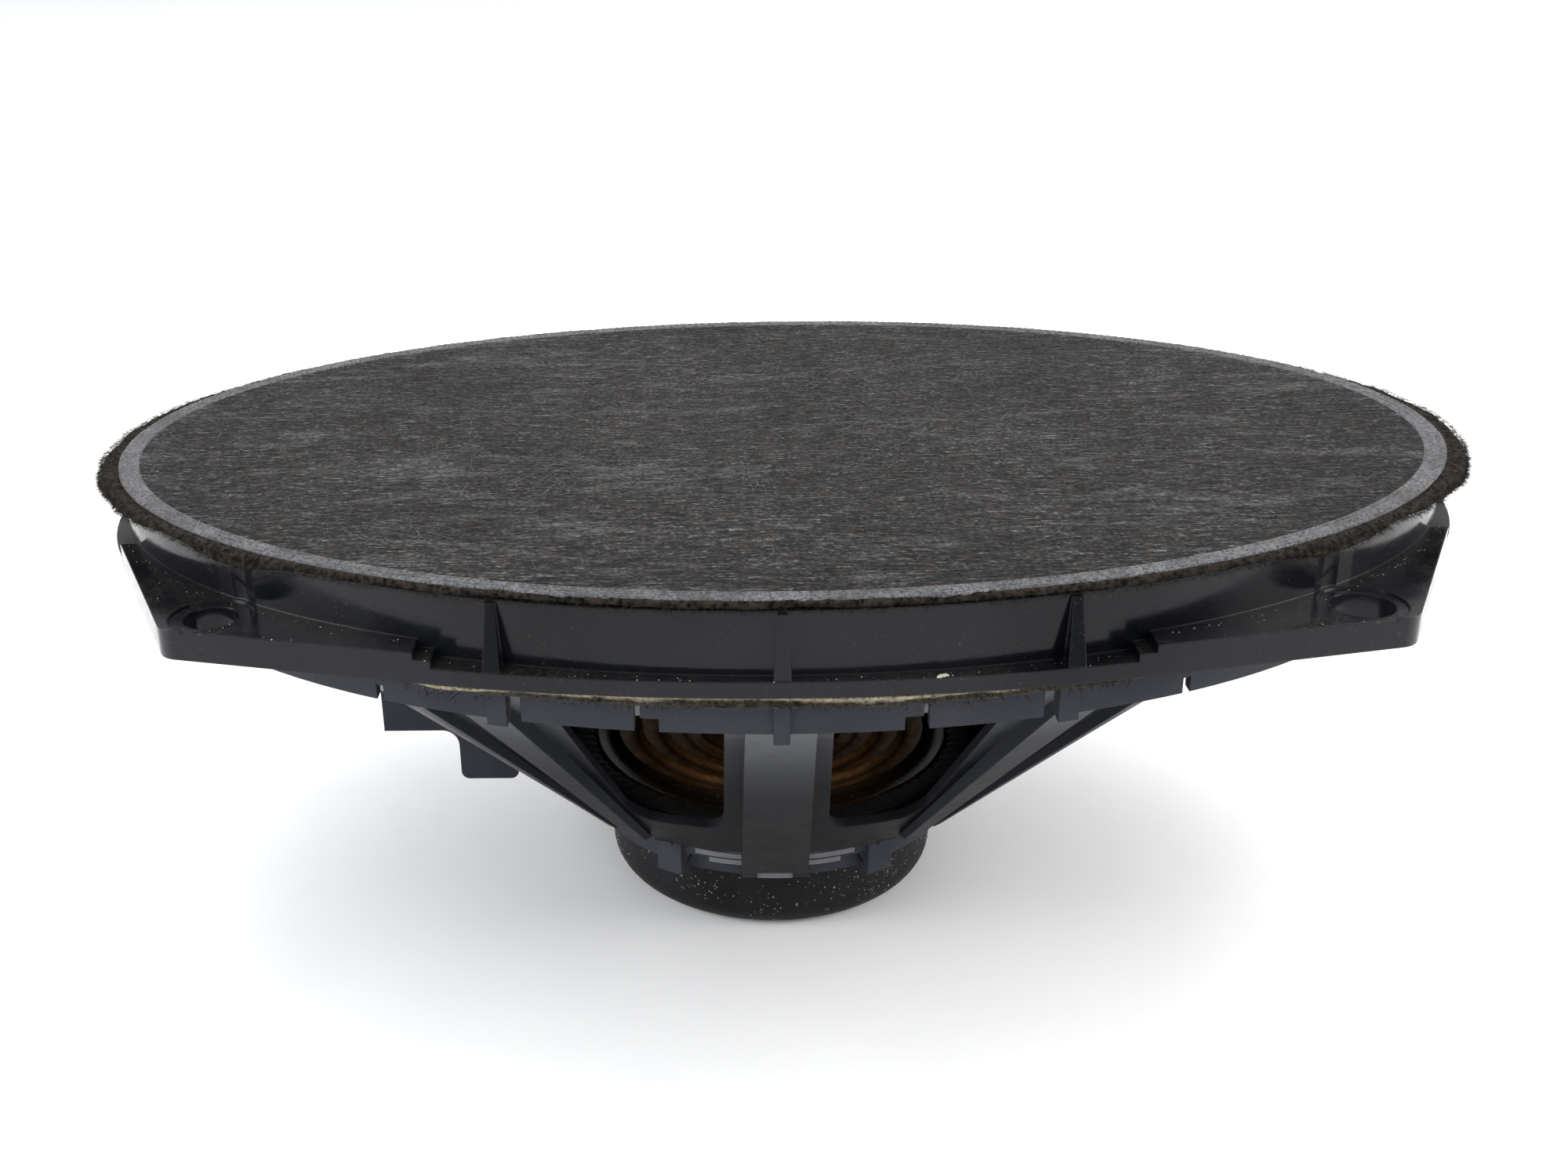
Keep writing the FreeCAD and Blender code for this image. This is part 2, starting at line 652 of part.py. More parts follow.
def surround():
    """Half-roll rubber edge between the basket's ledge and the cone's mouth."""
    half_x, half_y = SURROUND_OVAL
    base = FLANGE_TOP
    r = SURROUND_ROLL_R
    lip = SURROUND_LIP
    t = 0.8
    x = half_x

    def point(dx, dz):
        return (x + dx, 0, base + dz)

    edges = [
        line(point(-r - lip, 0), point(-r + t, 0)),
        arc(point(-r + t, 0), point(0, r - t), point(r - t, 0)),
        line(point(r - t, 0), point(r + lip, 0)),
        line(point(r + lip, 0), point(r + lip, t)),
        line(point(r + lip, t), point(r, t)),
        arc(point(r, t), point(0, r + t * 0.6), point(-r, t)),
        line(point(-r, t), point(-r - lip, t)),
        line(point(-r - lip, t), point(-r - lip, 0)),
    ]
    section = Part.Wire(edges)
    spine = oval_wire(half_x, half_y, base)
    return spine.makePipeShell([section], True, False)


# ---------------------------------------------------------------- moving assembly
def cone_solid(grow, lift):
    """Filled oval cone from the round neck to the oval mouth."""
    z0, neck = CONE_NECK
    z1, half_x, half_y = CONE_MOUTH
    foot = oval_wire(neck + grow, neck + grow, z0 + lift)
    head = oval_wire(half_x + grow, half_y + grow, z1 + lift)
    return Part.makeLoft([foot, head], True, True)


def cone():
    z0, neck = CONE_NECK
    z1 = CONE_MOUTH[0]
    shell = cone_solid(CONE_WALL + 0.5, 0).cut(cone_solid(0, 0))
    collar = tube(neck + 1.2, neck, z0 - 3.0, z0 + 0.2)
    body = join([shell, collar]).cut(disc(neck, z0 - 4, z0 + 0.5))
    for side in (-1, 1):
        body = body.cut(disc(1.25, 30, 50, -EYELET[0], side * EYELET[1]))
    return body.common(disc(150, z0 - 3.0, z1))


def lead_eyelets():
    """Two brass eyelets through the cone, where the leads are joined."""
    parts = []
    for side in (-1, 1):
        x, y = -EYELET[0], side * EYELET[1]
        parts.append(disc(1.2, 37.6, 43.0, x, y))
    return Part.makeCompound(parts)


def voice_coil_former():
    return tube(FORMER_R[1], FORMER_R[0], FORMER_Z[0], FORMER_Z[1])


def voice_coil():
    return tube(COIL_R[1], COIL_R[0], COIL_Z[0], COIL_Z[1])


def dust_seal():
    """Foam ring that closes the former around the tweeter post."""
    return tube(FORMER_R[0] - 0.05, POST_R + 0.6, DUST_SEAL_Z[0], DUST_SEAL_Z[1])


# ---------------------------------------------------------------- tweeter
def tweeter_post():
    return revolved(profile([
        (0, YOKE_BOTTOM + 0.6), (POST_STUD_R, YOKE_BOTTOM + 0.6), (POST_STUD_R, POLE_TOP),
        (6.0, POLE_TOP), (6.0, POLE_TOP + 2.4), (POST_R, POLE_TOP + 2.4), (POST_R, 54.0),
        (9.0, 54.0), (9.0, HOUSING_Z[0]), (0, HOUSING_Z[0])]))


def tweeter_post_nut():
    """Hexagon nut in the recess behind the pole."""
    across = 5.5
    corners = [(across / math.cos(math.pi / 6) * math.cos(math.radians(a)),
                across / math.cos(math.pi / 6) * math.sin(math.radians(a)), YOKE_BOTTOM + 1.2)
               for a in range(0, 360, 60)]
    nut = prism(corners, (0, 0, 2.4))
    return nut.cut(disc(POST_STUD_R + 0.05, 0, 10))


def tweeter_housing():
    z0, z1 = HOUSING_Z
    wall = 1.5
    body = revolved(profile([
        (0, z0), (HOUSING_R, z0), (HOUSING_R, z1), (HOUSING_R - wall, z1),
        (HOUSING_R - wall, TWEETER_YOKE_Z[0]), (11.0, TWEETER_YOKE_Z[0]),
        (11.0, TWEETER_YOKE_Z[0] - 2), (HOUSING_R - wall, TWEETER_YOKE_Z[0] - 2),
        (HOUSING_R - wall, z0 + 2), (0, z0 + 2)]))
    x, y = TWEETER_HOLE
    for side in (-1, 1):
        body = body.cut(disc(1.1, z0 - 1, z0 + 3, x, side * y))
    return body


def tweeter_yoke():
    z0, z1 = TWEETER_YOKE_Z
    return revolved(profile([
        (0, z0), (TWEETER_YOKE_R, z0), (TWEETER_YOKE_R, z1), (9.8, z1), (9.8, z0 + 2.2),
        (0, z0 + 2.2)]))


def tweeter_magnet():
    return disc(7.5, TWEETER_YOKE_Z[0] + 2.2, TWEETER_YOKE_Z[0] + 5.2)


def tweeter_pole_piece():
    return disc(8.6, TWEETER_YOKE_Z[0] + 5.2, TWEETER_YOKE_Z[0] + 7.2)


def tweeter_dome():
    """Soft dome with its roll and flat rim in one pressing."""
    t = 0.3
    z = DOME_BASE

    def skin(level):
        return [arc((0, 0, level + 3.5), (5.0, 0, level + 2.55), (9.4, 0, level)),
                arc((9.4, 0, level), (11.2, 0, level + 0.9), (13.0, 0, level)),
                line((13.0, 0, level), (15.6, 0, level))]

    ends = [line((0, 0, z + 3.5), (0, 0, z + 3.5 + t)), line((15.6, 0, z), (15.6, 0, z + t))]
    return revolved(Part.__sortEdges__(skin(z) + skin(z + t) + ends))


def tweeter_voice_coil():
    return tube(TWEETER_COIL_R[1], TWEETER_COIL_R[0], 68.0, DOME_BASE - 0.05)


def tweeter_faceplate():
    """Bezel on the housing, with three bars that guard the dome."""
    z1 = HOUSING_Z[1]
    rim = revolved(profile([
        (HOUSING_R - 1.5, z1), (HOUSING_R, z1), (HOUSING_R, z1 + 2.0), (HOUSING_R - 1.6, z1 + 3.6),
        (13.6, z1 + 3.6), (13.6, z1 + 1.3), (HOUSING_R - 1.5, z1 + 1.3)]))
    hub = disc(2.4, GUARD_Z[0], GUARD_Z[1])
    bars = [rim, hub]
    across = (-GUARD_BAR_HALF, GUARD_BAR_HALF)
    for angle in (90, 210, 330):
        bar = block((1.0, 14.6), across, GUARD_Z)
        leg = block((13.8, 15.6), across, (z1 + 3.0, GUARD_Z[1]))
        bars += [about_z(bar, angle), about_z(leg, angle)]
    return join(bars)


def crossover_capacitor():
    """Small capacitor under the tweeter's yoke that keeps low notes out of it."""
    body = Part.makeCylinder(2.6, 11.0, V(-5.5, 0, 60.8), V(1, 0, 0))
    return body.makeFillet(0.5, [e for e in body.Edges if e.BoundBox.XLength < 0.01])


# ---------------------------------------------------------------- leads
def tinsel_leads():
    """Braided leads from the solder tags to the eyelets, with slack for the travel."""
    leads = []
    for s in (-1, 1):
        route = [(TAG_X + PIN_SECTION[1] + 0.4, s * PIN_Y, TAG_TOP - 1.4), (-51.5, s * 4.4, 39.4),
                 (-42.0, s * 5.4, 34.6), (-33.5, s * 6.3, 33.0), (-27.6, s * 6.9, 34.2),
                 (-EYELET[0], s * EYELET[1], 37.3)]
        leads.append(lead(route, LEAD_R))
    return Part.makeCompound(leads)


def tweeter_leads():
    """Insulated leads from the eyelets to the tweeter, beside the post."""
    leads = []
    hole_x, hole_y = TWEETER_HOLE
    for s in (-1, 1):
        route = [(hole_x, s * hole_y, 58.6), (hole_x, s * hole_y, 53.5), (-15.0, s * 3.8, 48.6),
                 (-19.4, s * 5.2, 45.6), (-24.0, s * 6.5, 45.8), (-EYELET[0], s * EYELET[1], 43.8)]
        leads.append(lead(route, LEAD_R))
    return Part.makeCompound(leads)


PARTS = (
    basket, flange_frame, felt_rim, scrim_cover, mounting_gasket, connector_housing,
    terminal_pins, magnet_boot, t_yoke, ferrite_magnet, top_plate, motor_rivets,
    spider_ring, spider, surround,
    cone, voice_coil_former, voice_coil, dust_seal, lead_eyelets, tinsel_leads,
    tweeter_post, tweeter_post_nut, tweeter_housing, tweeter_yoke, tweeter_magnet,
    tweeter_pole_piece, tweeter_faceplate, tweeter_dome, tweeter_voice_coil,
    crossover_capacitor, tweeter_leads,
)


def main():
    os.makedirs("parts", exist_ok=True)
    for make in PARTS:
        shape = make()
        shape.exportStep("parts/" + make.__name__ + ".step")
        print(make.__name__, "solids", len(shape.Solids), "valid", shape.isValid(),
              "volume mm3", round(shape.Volume, 1))


main()
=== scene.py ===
import bpy
import json
import math
import random
from mathutils import Matrix, Vector, noise
from mathutils.bvhtree import BVHTree


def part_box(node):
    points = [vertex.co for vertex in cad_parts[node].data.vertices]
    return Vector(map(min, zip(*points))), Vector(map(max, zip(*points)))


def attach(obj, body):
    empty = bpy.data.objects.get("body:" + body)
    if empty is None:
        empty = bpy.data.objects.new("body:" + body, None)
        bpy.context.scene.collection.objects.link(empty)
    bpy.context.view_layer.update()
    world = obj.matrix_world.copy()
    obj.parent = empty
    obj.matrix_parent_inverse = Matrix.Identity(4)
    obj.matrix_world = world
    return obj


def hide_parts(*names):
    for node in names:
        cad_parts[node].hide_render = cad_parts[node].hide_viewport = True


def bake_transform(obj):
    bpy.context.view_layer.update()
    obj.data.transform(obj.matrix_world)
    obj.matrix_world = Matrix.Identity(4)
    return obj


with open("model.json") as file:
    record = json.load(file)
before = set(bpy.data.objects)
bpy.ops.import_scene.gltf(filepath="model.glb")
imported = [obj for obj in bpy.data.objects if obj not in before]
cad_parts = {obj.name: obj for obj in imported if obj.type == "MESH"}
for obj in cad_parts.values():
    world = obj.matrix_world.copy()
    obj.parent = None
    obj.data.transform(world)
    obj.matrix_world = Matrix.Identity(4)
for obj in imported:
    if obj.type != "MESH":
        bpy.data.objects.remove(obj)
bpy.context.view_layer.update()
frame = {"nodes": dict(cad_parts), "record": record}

MM = 0.001
TURN = 2 * math.pi
DETAIL = 2


# ---- measures from the frame
def half_extents(node):
    low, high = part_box(node)
    return (high[0] - low[0]) / 2, (high[1] - low[1]) / 2


SCRIM = half_extents("scrim_cover")
FELT = half_extents("felt_rim")
SCRIM_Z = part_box("scrim_cover")[1][2]
FELT_Z = (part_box("felt_rim")[0][2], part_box("felt_rim")[1][2])
BEAD_WIDTH = 3.6 * MM
GASKET = half_extents("mounting_gasket")
GASKET_Z = (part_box("mounting_gasket")[0][2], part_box("mounting_gasket")[1][2])
GASKET_WIDTH = 3.25 * MM

# ---- sizes of the visual pieces
CLOTH_THICKNESS = 0.4 * MM
CLOTH_DROP = 0.05 * MM              # cloth below the weld bead's top
BEAD_INSET = 0.6                    # share of the bead's width that the cloth stops short
BEAD_RIDGES = 3
TICK_PITCH = 1.45 * MM              # stitched look on the bead's outermost ridge
BEAD_SIDE_MARGIN = 0.55 * MM        # bead drawn in along the oval's long sides
FELT_DEPTH = 9.0 * MM
POCKET_REACH = 9 * MM
SPIDER_NECK = 13.35 * MM
SPIDER_FOLDS = (15.2 * MM, 32.6 * MM)
SPIDER_WAVES = 4
SPIDER_LEVEL = 25.4 * MM
SPIDER_THICKNESS = 0.45 * MM
FOLD_PITCH = (SPIDER_FOLDS[1] - SPIDER_FOLDS[0]) / SPIDER_WAVES
GLUE_TOP = 25.9 * MM
GLUE_TEETH = 84
RIM_TEETH = 60
SURROUND_LIP = 5.2 * MM
SURROUND_ROLL = 4.4 * MM
SURROUND_THICKNESS = 0.75 * MM
LEAD_DIAMETER = 1.4 * MM

# Lumps of squeezed foam, in millimetres: place along X, half width and how far each stands out.
GASKET_LUMPS = ((-46, 8, 2.9), (-26, 12, 0.8), (18, 16, 1.0), (66, 10, 0.5), (-80, 8, 0.6))

# Pale bands painted as highlights on the seat's step edges, in millimetres: inner and outer radius, lower
# and upper height, and how far from the spoke's middle each one starts and stops.
SEAT_STRIPS = (
    (35.3, 35.64, 19.35, 20.65, 5.7, 32.5),
    (35.3, 35.55, 18.15, 19.1, 5.7, 13.6),
    (33.5, 35.5, 16.95, 17.85, 5.7, 11.2),
    (33.5, 34.78, 14.2, 14.78, 0.0, 3.05),
    (33.5, 35.15, 14.95, 15.5, 0.0, 3.05),
)

# How many fibres, hairs and crumbs there are.
FELT_EDGE_FIBRES = 9000 * DETAIL
FELT_TOP_FIBRES = 4500 * DETAIL
CLOTH_FIBRES = 6500 * DETAIL
GASKET_FIBRES = 1500 * DETAIL
LONG_HAIRS, SHORT_HAIRS, HAIR_CLUSTERS = 60, 420, 22
LEDGE_CRUMBS, BOOT_CRUMBS, BOOT_CLUSTERS = 620, 620, 26

LEDGE = (112.3 * MM, 77.8 * MM)     # oval along which dust gathers on the flange
LARGE_CRUMB = (0.0213, -0.0779)     # its place on the flange
# Angle around the motor and height of the thickest dust on its cover.
BOOT_DUST = ((-2.35, 0.011), (-2.1, 0.008), (-1.95, 0.0065), (-0.95, 0.009))


# ---- mesh helpers
def new_piece(name, verts, faces, material, smooth=True):
    mesh = bpy.data.meshes.new(name)
    mesh.from_pydata(verts, [], faces)
    mesh.update()
    if smooth:
        mesh.polygons.foreach_set("use_smooth", [True] * len(mesh.polygons))
    mesh.materials.append(material)
    piece = bpy.data.objects.new(name, mesh)
    bpy.context.scene.collection.objects.link(piece)
    return piece


def ring_faces(around, across, closed_across):
    """Quads of a grid that closes around, and across too if asked."""
    faces = []
    last = across if closed_across else across - 1
    for i in range(around):
        j = (i + 1) % around
        for k in range(last):
            m = (k + 1) % across
            faces.append((i * across + k, j * across + k, j * across + m, i * across + m))
    return faces


def on_oval(half, angle, out=0.0):
    """Point of an oval and its outward unit normal, moved out along that normal."""
    x, y = half[0] * math.cos(angle), half[1] * math.sin(angle)
    nx, ny = math.cos(angle) / half[0], math.sin(angle) / half[1]
    size = math.hypot(nx, ny)
    nx, ny = nx / size, ny / size
    return x + nx * out, y + ny * out, nx, ny


def even_angles(half, count):
    """Oval parameters at equal steps along the oval, and the oval's length."""
    fine = 4 * count
    points = [on_oval(half, TURN * i / fine)[:2] for i in range(fine + 1)]
    run = [0.0]
    for a, b in zip(points, points[1:]):
        run.append(run[-1] + math.hypot(b[0] - a[0], b[1] - a[1]))
    angles, k = [], 0
    for i in range(count):
        target = run[-1] * i / count
        while run[k + 1] < target:
            k += 1
        part = (target - run[k]) / (run[k + 1] - run[k])
        angles.append(TURN * (k + part) / fine)
    return angles, run[-1]


def wobble(x, y, z, scale, seed=0.0):
    """Smooth noise from -1 to 1, with features of about the given size."""
    return noise.noise(Vector((x / scale + seed, y / scale - seed, z / scale + 2.7 * seed)))


class Strands:
    """Thin fibres or leads gathered in one mesh."""

    def __init__(self):
        self.verts = []
        self.faces = []

    def add(self, points, radius, taper=0.4, sides=3):
        """One fibre as a thin tube along points; taper is its end radius as a share."""
        base = len(self.verts)
        count = len(points)
        for i, p in enumerate(points):
            ahead = points[min(i + 1, count - 1)] - points[max(i - 1, 0)]
            if ahead.length < 1e-9:
                ahead = Vector((0, 0, 1))
            ahead.normalize()
            side = ahead.orthogonal().normalized()
            other = ahead.cross(side)
            r = radius * (1 - (1 - taper) * i / (count - 1))
            for s in range(sides):
                a = TURN * s / sides
                self.verts.append(p + side * (r * math.cos(a)) + other * (r * math.sin(a)))
        for i in range(count - 1):
            for s in range(sides):
                t = (s + 1) % sides
                a, b = base + i * sides + s, base + i * sides + t
                self.faces.append((a, b, b + sides, a + sides))
        self.faces.append(tuple(base + s for s in reversed(range(sides))))
        end = base + (count - 1) * sides
        self.faces.append(tuple(end + s for s in range(sides)))

    def piece(self, name, material):
        return new_piece(name, self.verts, self.faces, material)


# ---- material helpers
class Stuff:
    """Builds one procedural material from named steps."""

    def __init__(self, name):
        self.material = bpy.data.materials.new(name)
        self.material.use_nodes = True
        self.tree = self.material.node_tree
        self.shader = self.tree.nodes["Principled BSDF"]
        self.place = self.tree.nodes.new("ShaderNodeTexCoord").outputs["Object"]

    def node(self, kind, **settings):
        made = self.tree.nodes.new(kind)
        for key, value in settings.items():
            setattr(made, key, value)
        return made

    def link(self, source, target):
        self.tree.links.new(source, target)

    def scaled(self, scale, turn=(0, 0, 0)):
        mapping = self.node("ShaderNodeMapping")
        mapping.inputs["Scale"].default_value = scale
        mapping.inputs["Rotation"].default_value = turn
        self.link(self.place, mapping.inputs["Vector"])
        return mapping.outputs[0]

    def noise(self, scale, detail=4.0, rough=0.5, vector=None, warp=0.0):
        made = self.node("ShaderNodeTexNoise")
        made.inputs["Scale"].default_value = scale
        made.inputs["Detail"].default_value = detail
        made.inputs["Roughness"].default_value = rough
        made.inputs["Distortion"].default_value = warp
        self.link(vector or self.place, made.inputs["Vector"])
        return made.outputs["Fac"]

    def cells(self, scale, feature="F1", vector=None):
        made = self.node("ShaderNodeTexVoronoi", feature=feature)
        made.inputs["Scale"].default_value = scale
        self.link(vector or self.place, made.inputs["Vector"])
        return made.outputs["Distance"]

    def ramp(self, value, stops):
        """Value to grey level or colour through (position, level) stops."""
        made = self.node("ShaderNodeValToRGB")
        points = made.color_ramp.elements
        while len(points) < len(stops):
            points.new(0.5)
        for point, (where, level) in zip(points, stops):
            point.position = where
            point.color = (level, level, level, 1) if isinstance(level, (int, float)) else (*level, 1)
        self.link(value, made.inputs["Fac"])
        return made.outputs["Color"]

    def math(self, operation, a, b=0.5):
        made = self.node("ShaderNodeMath", operation=operation)
        for socket, value in zip(made.inputs, (a, b)):
            if isinstance(value, (int, float)):
                socket.default_value = value
            else:
                self.link(value, socket)
        return made.outputs[0]

    def unsigned(self, value):
        """Takes a value from -1 to 1 to the range 0 to 1."""
        return self.math("MULTIPLY_ADD", value, 0.5)

    def mix(self, factor, a, b, how="MIX"):
        made = self.node("ShaderNodeMix", data_type="RGBA", blend_type=how)
        for socket, value in ((made.inputs[0], factor), (made.inputs[6], a), (made.inputs[7], b)):
            if isinstance(value, (int, float)):
                socket.default_value = value
            elif isinstance(value, tuple):
                socket.default_value = (*value, 1)
            else:
                self.link(value, socket)
        return made.outputs[2]

    def facing_up(self):
        """Height of the face's normal: 1 where it looks up, -1 where it looks down."""
        split = self.node("ShaderNodeSeparateXYZ")
        self.link(self.node("ShaderNodeNewGeometry").outputs["Normal"], split.inputs[0])
        return split.outputs[2]

    def axis(self, index):
        split = self.node("ShaderNodeSeparateXYZ")
        self.link(self.place, split.inputs[0])
        return split.outputs[index]

    def bump(self, height, strength, distance, under=None):
        made = self.node("ShaderNodeBump")
        made.inputs["Strength"].default_value = strength
        made.inputs["Distance"].default_value = distance
        self.link(height, made.inputs["Height"])
        if under is not None:
            self.link(under, made.inputs["Normal"])
        return made.outputs[0]

    def soft_edges(self, radius):
        made = self.node("ShaderNodeBevel", samples=4)
        made.inputs["Radius"].default_value = radius
        return made.outputs[0]

    def finish(self, color=None, roughness=None, normal=None, **constants):
        for value, socket in ((color, "Base Color"), (roughness, "Roughness"), (normal, "Normal")):
            if value is None:
                continue
            if isinstance(value, tuple):
                self.shader.inputs[socket].default_value = (*value, 1)
            elif isinstance(value, (int, float)):
                self.shader.inputs[socket].default_value = value
            else:
                self.link(value, self.shader.inputs[socket])
        for key, value in constants.items():
            self.shader.inputs[key.replace("_", " ")].default_value = value
        return self.material


def plain_stuff(name, dark, light, rough, metal=0.0, grain=900.0, bump=0.15, depth=0.00008, **constants):
    """Material whose colour, gloss and surface vary finely between two tones."""
    s = Stuff(name)
    broad = s.noise(grain * 0.12, 3)
    fine = s.noise(grain, 5, 0.6)
    tone = s.mix(0.45, broad, fine)
    color = s.mix(s.ramp(tone, [(0.3, 0.0), (0.7, 1.0)]), dark, light)
    gloss = s.ramp(broad, [(0.3, rough[0]), (0.7, rough[1])])
    return s.finish(color, gloss, s.bump(fine, bump, depth), Metallic=metal, **constants)


def moulding(name, body, tint, gloss_range, waviness, ior, painted_light_below=False):
    """Moulded black plastic with flow marks, a thin film of dust and some specks.

    The last flag paints the undersides: a pale painted reflection up high, fading to painted shade near the
    motor.
    """
    s = Stuff(name)
    broad = s.noise(38, 4, 0.6)
    fine = s.noise(1500, 4, 0.6)
    speck = s.noise(2600, 2, 0.5)
    streak = s.noise(420, 5, 0.65, s.scaled((0.7, 0.7, 1.3)))
    up = s.ramp(s.facing_up(), [(0.55, 0.0), (0.95, 1.0)])
    cloudy = s.ramp(s.noise(90, 5, 0.65), [(0.42, 0.1), (0.68, 1.0)])
    film = s.math("MULTIPLY", up, cloudy)
    specks = s.ramp(speck, [(0.66, 0.0), (0.72, 1.0)])
    dust = s.math("MULTIPLY", film, s.ramp(fine, [(0.4, 0.03), (0.75, 0.3)]))
    dust = s.math("MAXIMUM", dust, s.math("MULTIPLY", s.math("MULTIPLY", specks, 0.5), cloudy))
    patches = s.ramp(s.noise(21, 3, 0.5, None, 0.6), [(0.4, 0.0), (0.62, 1.0)])
    color = s.mix(s.mix(0.35, patches, broad), body, tint)
    if painted_light_below:
        # Painted light: undersides go from nearly black painted shade near the motor to a pale painted
        # reflection higher up.
        side = s.ramp(s.unsigned(s.facing_up()), [(0.24, 0.0), (0.42, 1.0)])
        height = s.math("ADD", s.math("MULTIPLY", s.axis(2), 10.0), s.math("MULTIPLY", streak, 0.05))
        under = s.ramp(height, [(0.3, (0.0012, 0.0014, 0.002)), (0.44, (0.005, 0.0055, 0.007)),
                                (0.53, (0.026, 0.027, 0.030)), (0.63, (0.085, 0.087, 0.091))])
        color = s.mix(side, under, color)
    color = s.mix(dust, color, (0.085, 0.072, 0.056))
    gloss = s.ramp(s.mix(0.5, broad, streak), [(0.35, gloss_range[0]), (0.65, gloss_range[1])])
    gloss = s.mix(dust, gloss, (0.8, 0.8, 0.8))
    waves = s.bump(s.noise(55, 2, 0.4), waviness, 0.0004, s.soft_edges(0.00035))
    return s.finish(color, gloss, s.bump(fine, 0.08, 0.00005, waves), IOR=ior)


def scrim_cloth():
    """Charcoal non-woven cloth: fine fibres that mostly run along the oval's length."""
    s = Stuff("scrim_cloth")
    along = s.noise(1.0, 4, 0.7, s.scaled((230, 2200, 600)), 0.5)
    left = s.noise(1.0, 4, 0.7, s.scaled((300, 1700, 600), (0, 0, 0.42)), 0.8)
    right = s.noise(1.0, 4, 0.7, s.scaled((300, 1700, 600), (0, 0, -0.5)), 0.8)
    short = s.noise(1500, 3, 0.7)
    weave = s.mix(0.3, s.mix(0.42, along, left), right)
    weave = s.mix(0.3, weave, short)
    color = s.ramp(weave, [(0.43, (0.001, 0.001, 0.001)), (0.49, (0.0082, 0.0079, 0.008)),
                           (0.535, (0.028, 0.027, 0.028)), (0.6, (0.14, 0.136, 0.14))])
    brown = s.ramp(s.noise(800, 3, 0.6, s.scaled((0.4, 1.5, 1))), [(0.54, 0.0), (0.64, 0.65)])
    color = s.mix(brown, color, (0.038, 0.0245, 0.015))
    cloud = s.ramp(s.noise(26, 5, 0.62), [(0.35, 0.72), (0.7, 1.35)])
    color = s.mix(1.0, color, cloud, "MULTIPLY")
    haze = s.ramp(s.noise(1.0, 6, 0.7, s.scaled((26, 85, 30), (0, 0, -0.45)), 1.6),
                  [(0.52, 0.0), (0.66, 0.75)])
    haze = s.math("MULTIPLY", haze, s.ramp(s.mix(0.5, left, short), [(0.42, 0.1), (0.6, 1.0)]))
    color = s.mix(haze, color, (0.105, 0.105, 0.11))
    normal = s.bump(weave, 1.0, 0.00028)
    normal = s.bump(short, 0.5, 0.00012, normal)
    return s.finish(color, 0.95, normal, Sheen_Weight=0.03, Sheen_Roughness=0.5,
                    Specular_IOR_Level=0.08)


def bead_cloth():
    """The same cloth pressed flat and paler where it is welded."""
    s = Stuff("bead_cloth")
    fine = s.noise(2400, 4, 0.6)
    broad = s.noise(160, 4, 0.6)
    color = s.mix(s.ramp(fine, [(0.35, 0.0), (0.68, 1.0)]), (0.03, 0.03, 0.032), (0.17, 0.169, 0.176))
    color = s.mix(s.ramp(broad, [(0.35, 0.5), (0.6, 0.0)]), color, (0.014, 0.0135, 0.0135))
    return s.finish(color, s.ramp(broad, [(0.3, 0.55), (0.7, 0.8)]), s.bump(fine, 0.5, 0.00012),
                    Sheen_Weight=0.03, Sheen_Roughness=0.5, Specular_IOR_Level=0.15)


def felt_cloth(name, dark, light):
    s = Stuff(name)
    fine = s.noise(1700, 5, 0.65)
    tangle = s.cells(1300, "SMOOTH_F1")
    tone = s.mix(0.5, fine, tangle)
    color = s.mix(s.ramp(tone, [(0.34, 0.0), (0.58, 1.0)]), dark, light)
    normal = s.bump(s.mix(0.4, tone, s.noise(600, 4, 0.7)), 1.0, 0.0009)
    return s.finish(color, 0.95, normal, Sheen_Weight=0.02, Sheen_Roughness=0.5,
                    Specular_IOR_Level=0.05)


def foam_stuff():
    """Aged open-cell foam: khaki on the top edge, sooty and porous below."""
    s = Stuff("foam")
    pores = s.cells(1500, "F1")
    fine = s.noise(1100, 5, 0.65)
    patch = s.noise(140, 4, 0.6)
    grey = s.mix(s.ramp(fine, [(0.35, 0.0), (0.65, 1.0)]), (0.010, 0.009, 0.0075), (0.05, 0.044, 0.033))
    khaki = s.mix(s.ramp(fine, [(0.3, 0.0), (0.7, 1.0)]), (0.12, 0.098, 0.064), (0.40, 0.35, 0.26))
    high = s.math("MULTIPLY", s.axis(2), 10.0)
    edge = s.math("ADD", high, s.math("MULTIPLY", patch, 0.022))
    color = s.mix(s.ramp(edge, [(0.7035, 0.0), (0.709, 1.0)]), grey, khaki)
    color = s.mix(s.ramp(pores, [(0.12, 0.75), (0.32, 0.0)]), color, (0.006, 0.005, 0.004))
    normal = s.bump(s.mix(0.5, fine, pores), 1.0, 0.0006)
    return s.finish(color, 0.93, normal, Specular_IOR_Level=0.15)


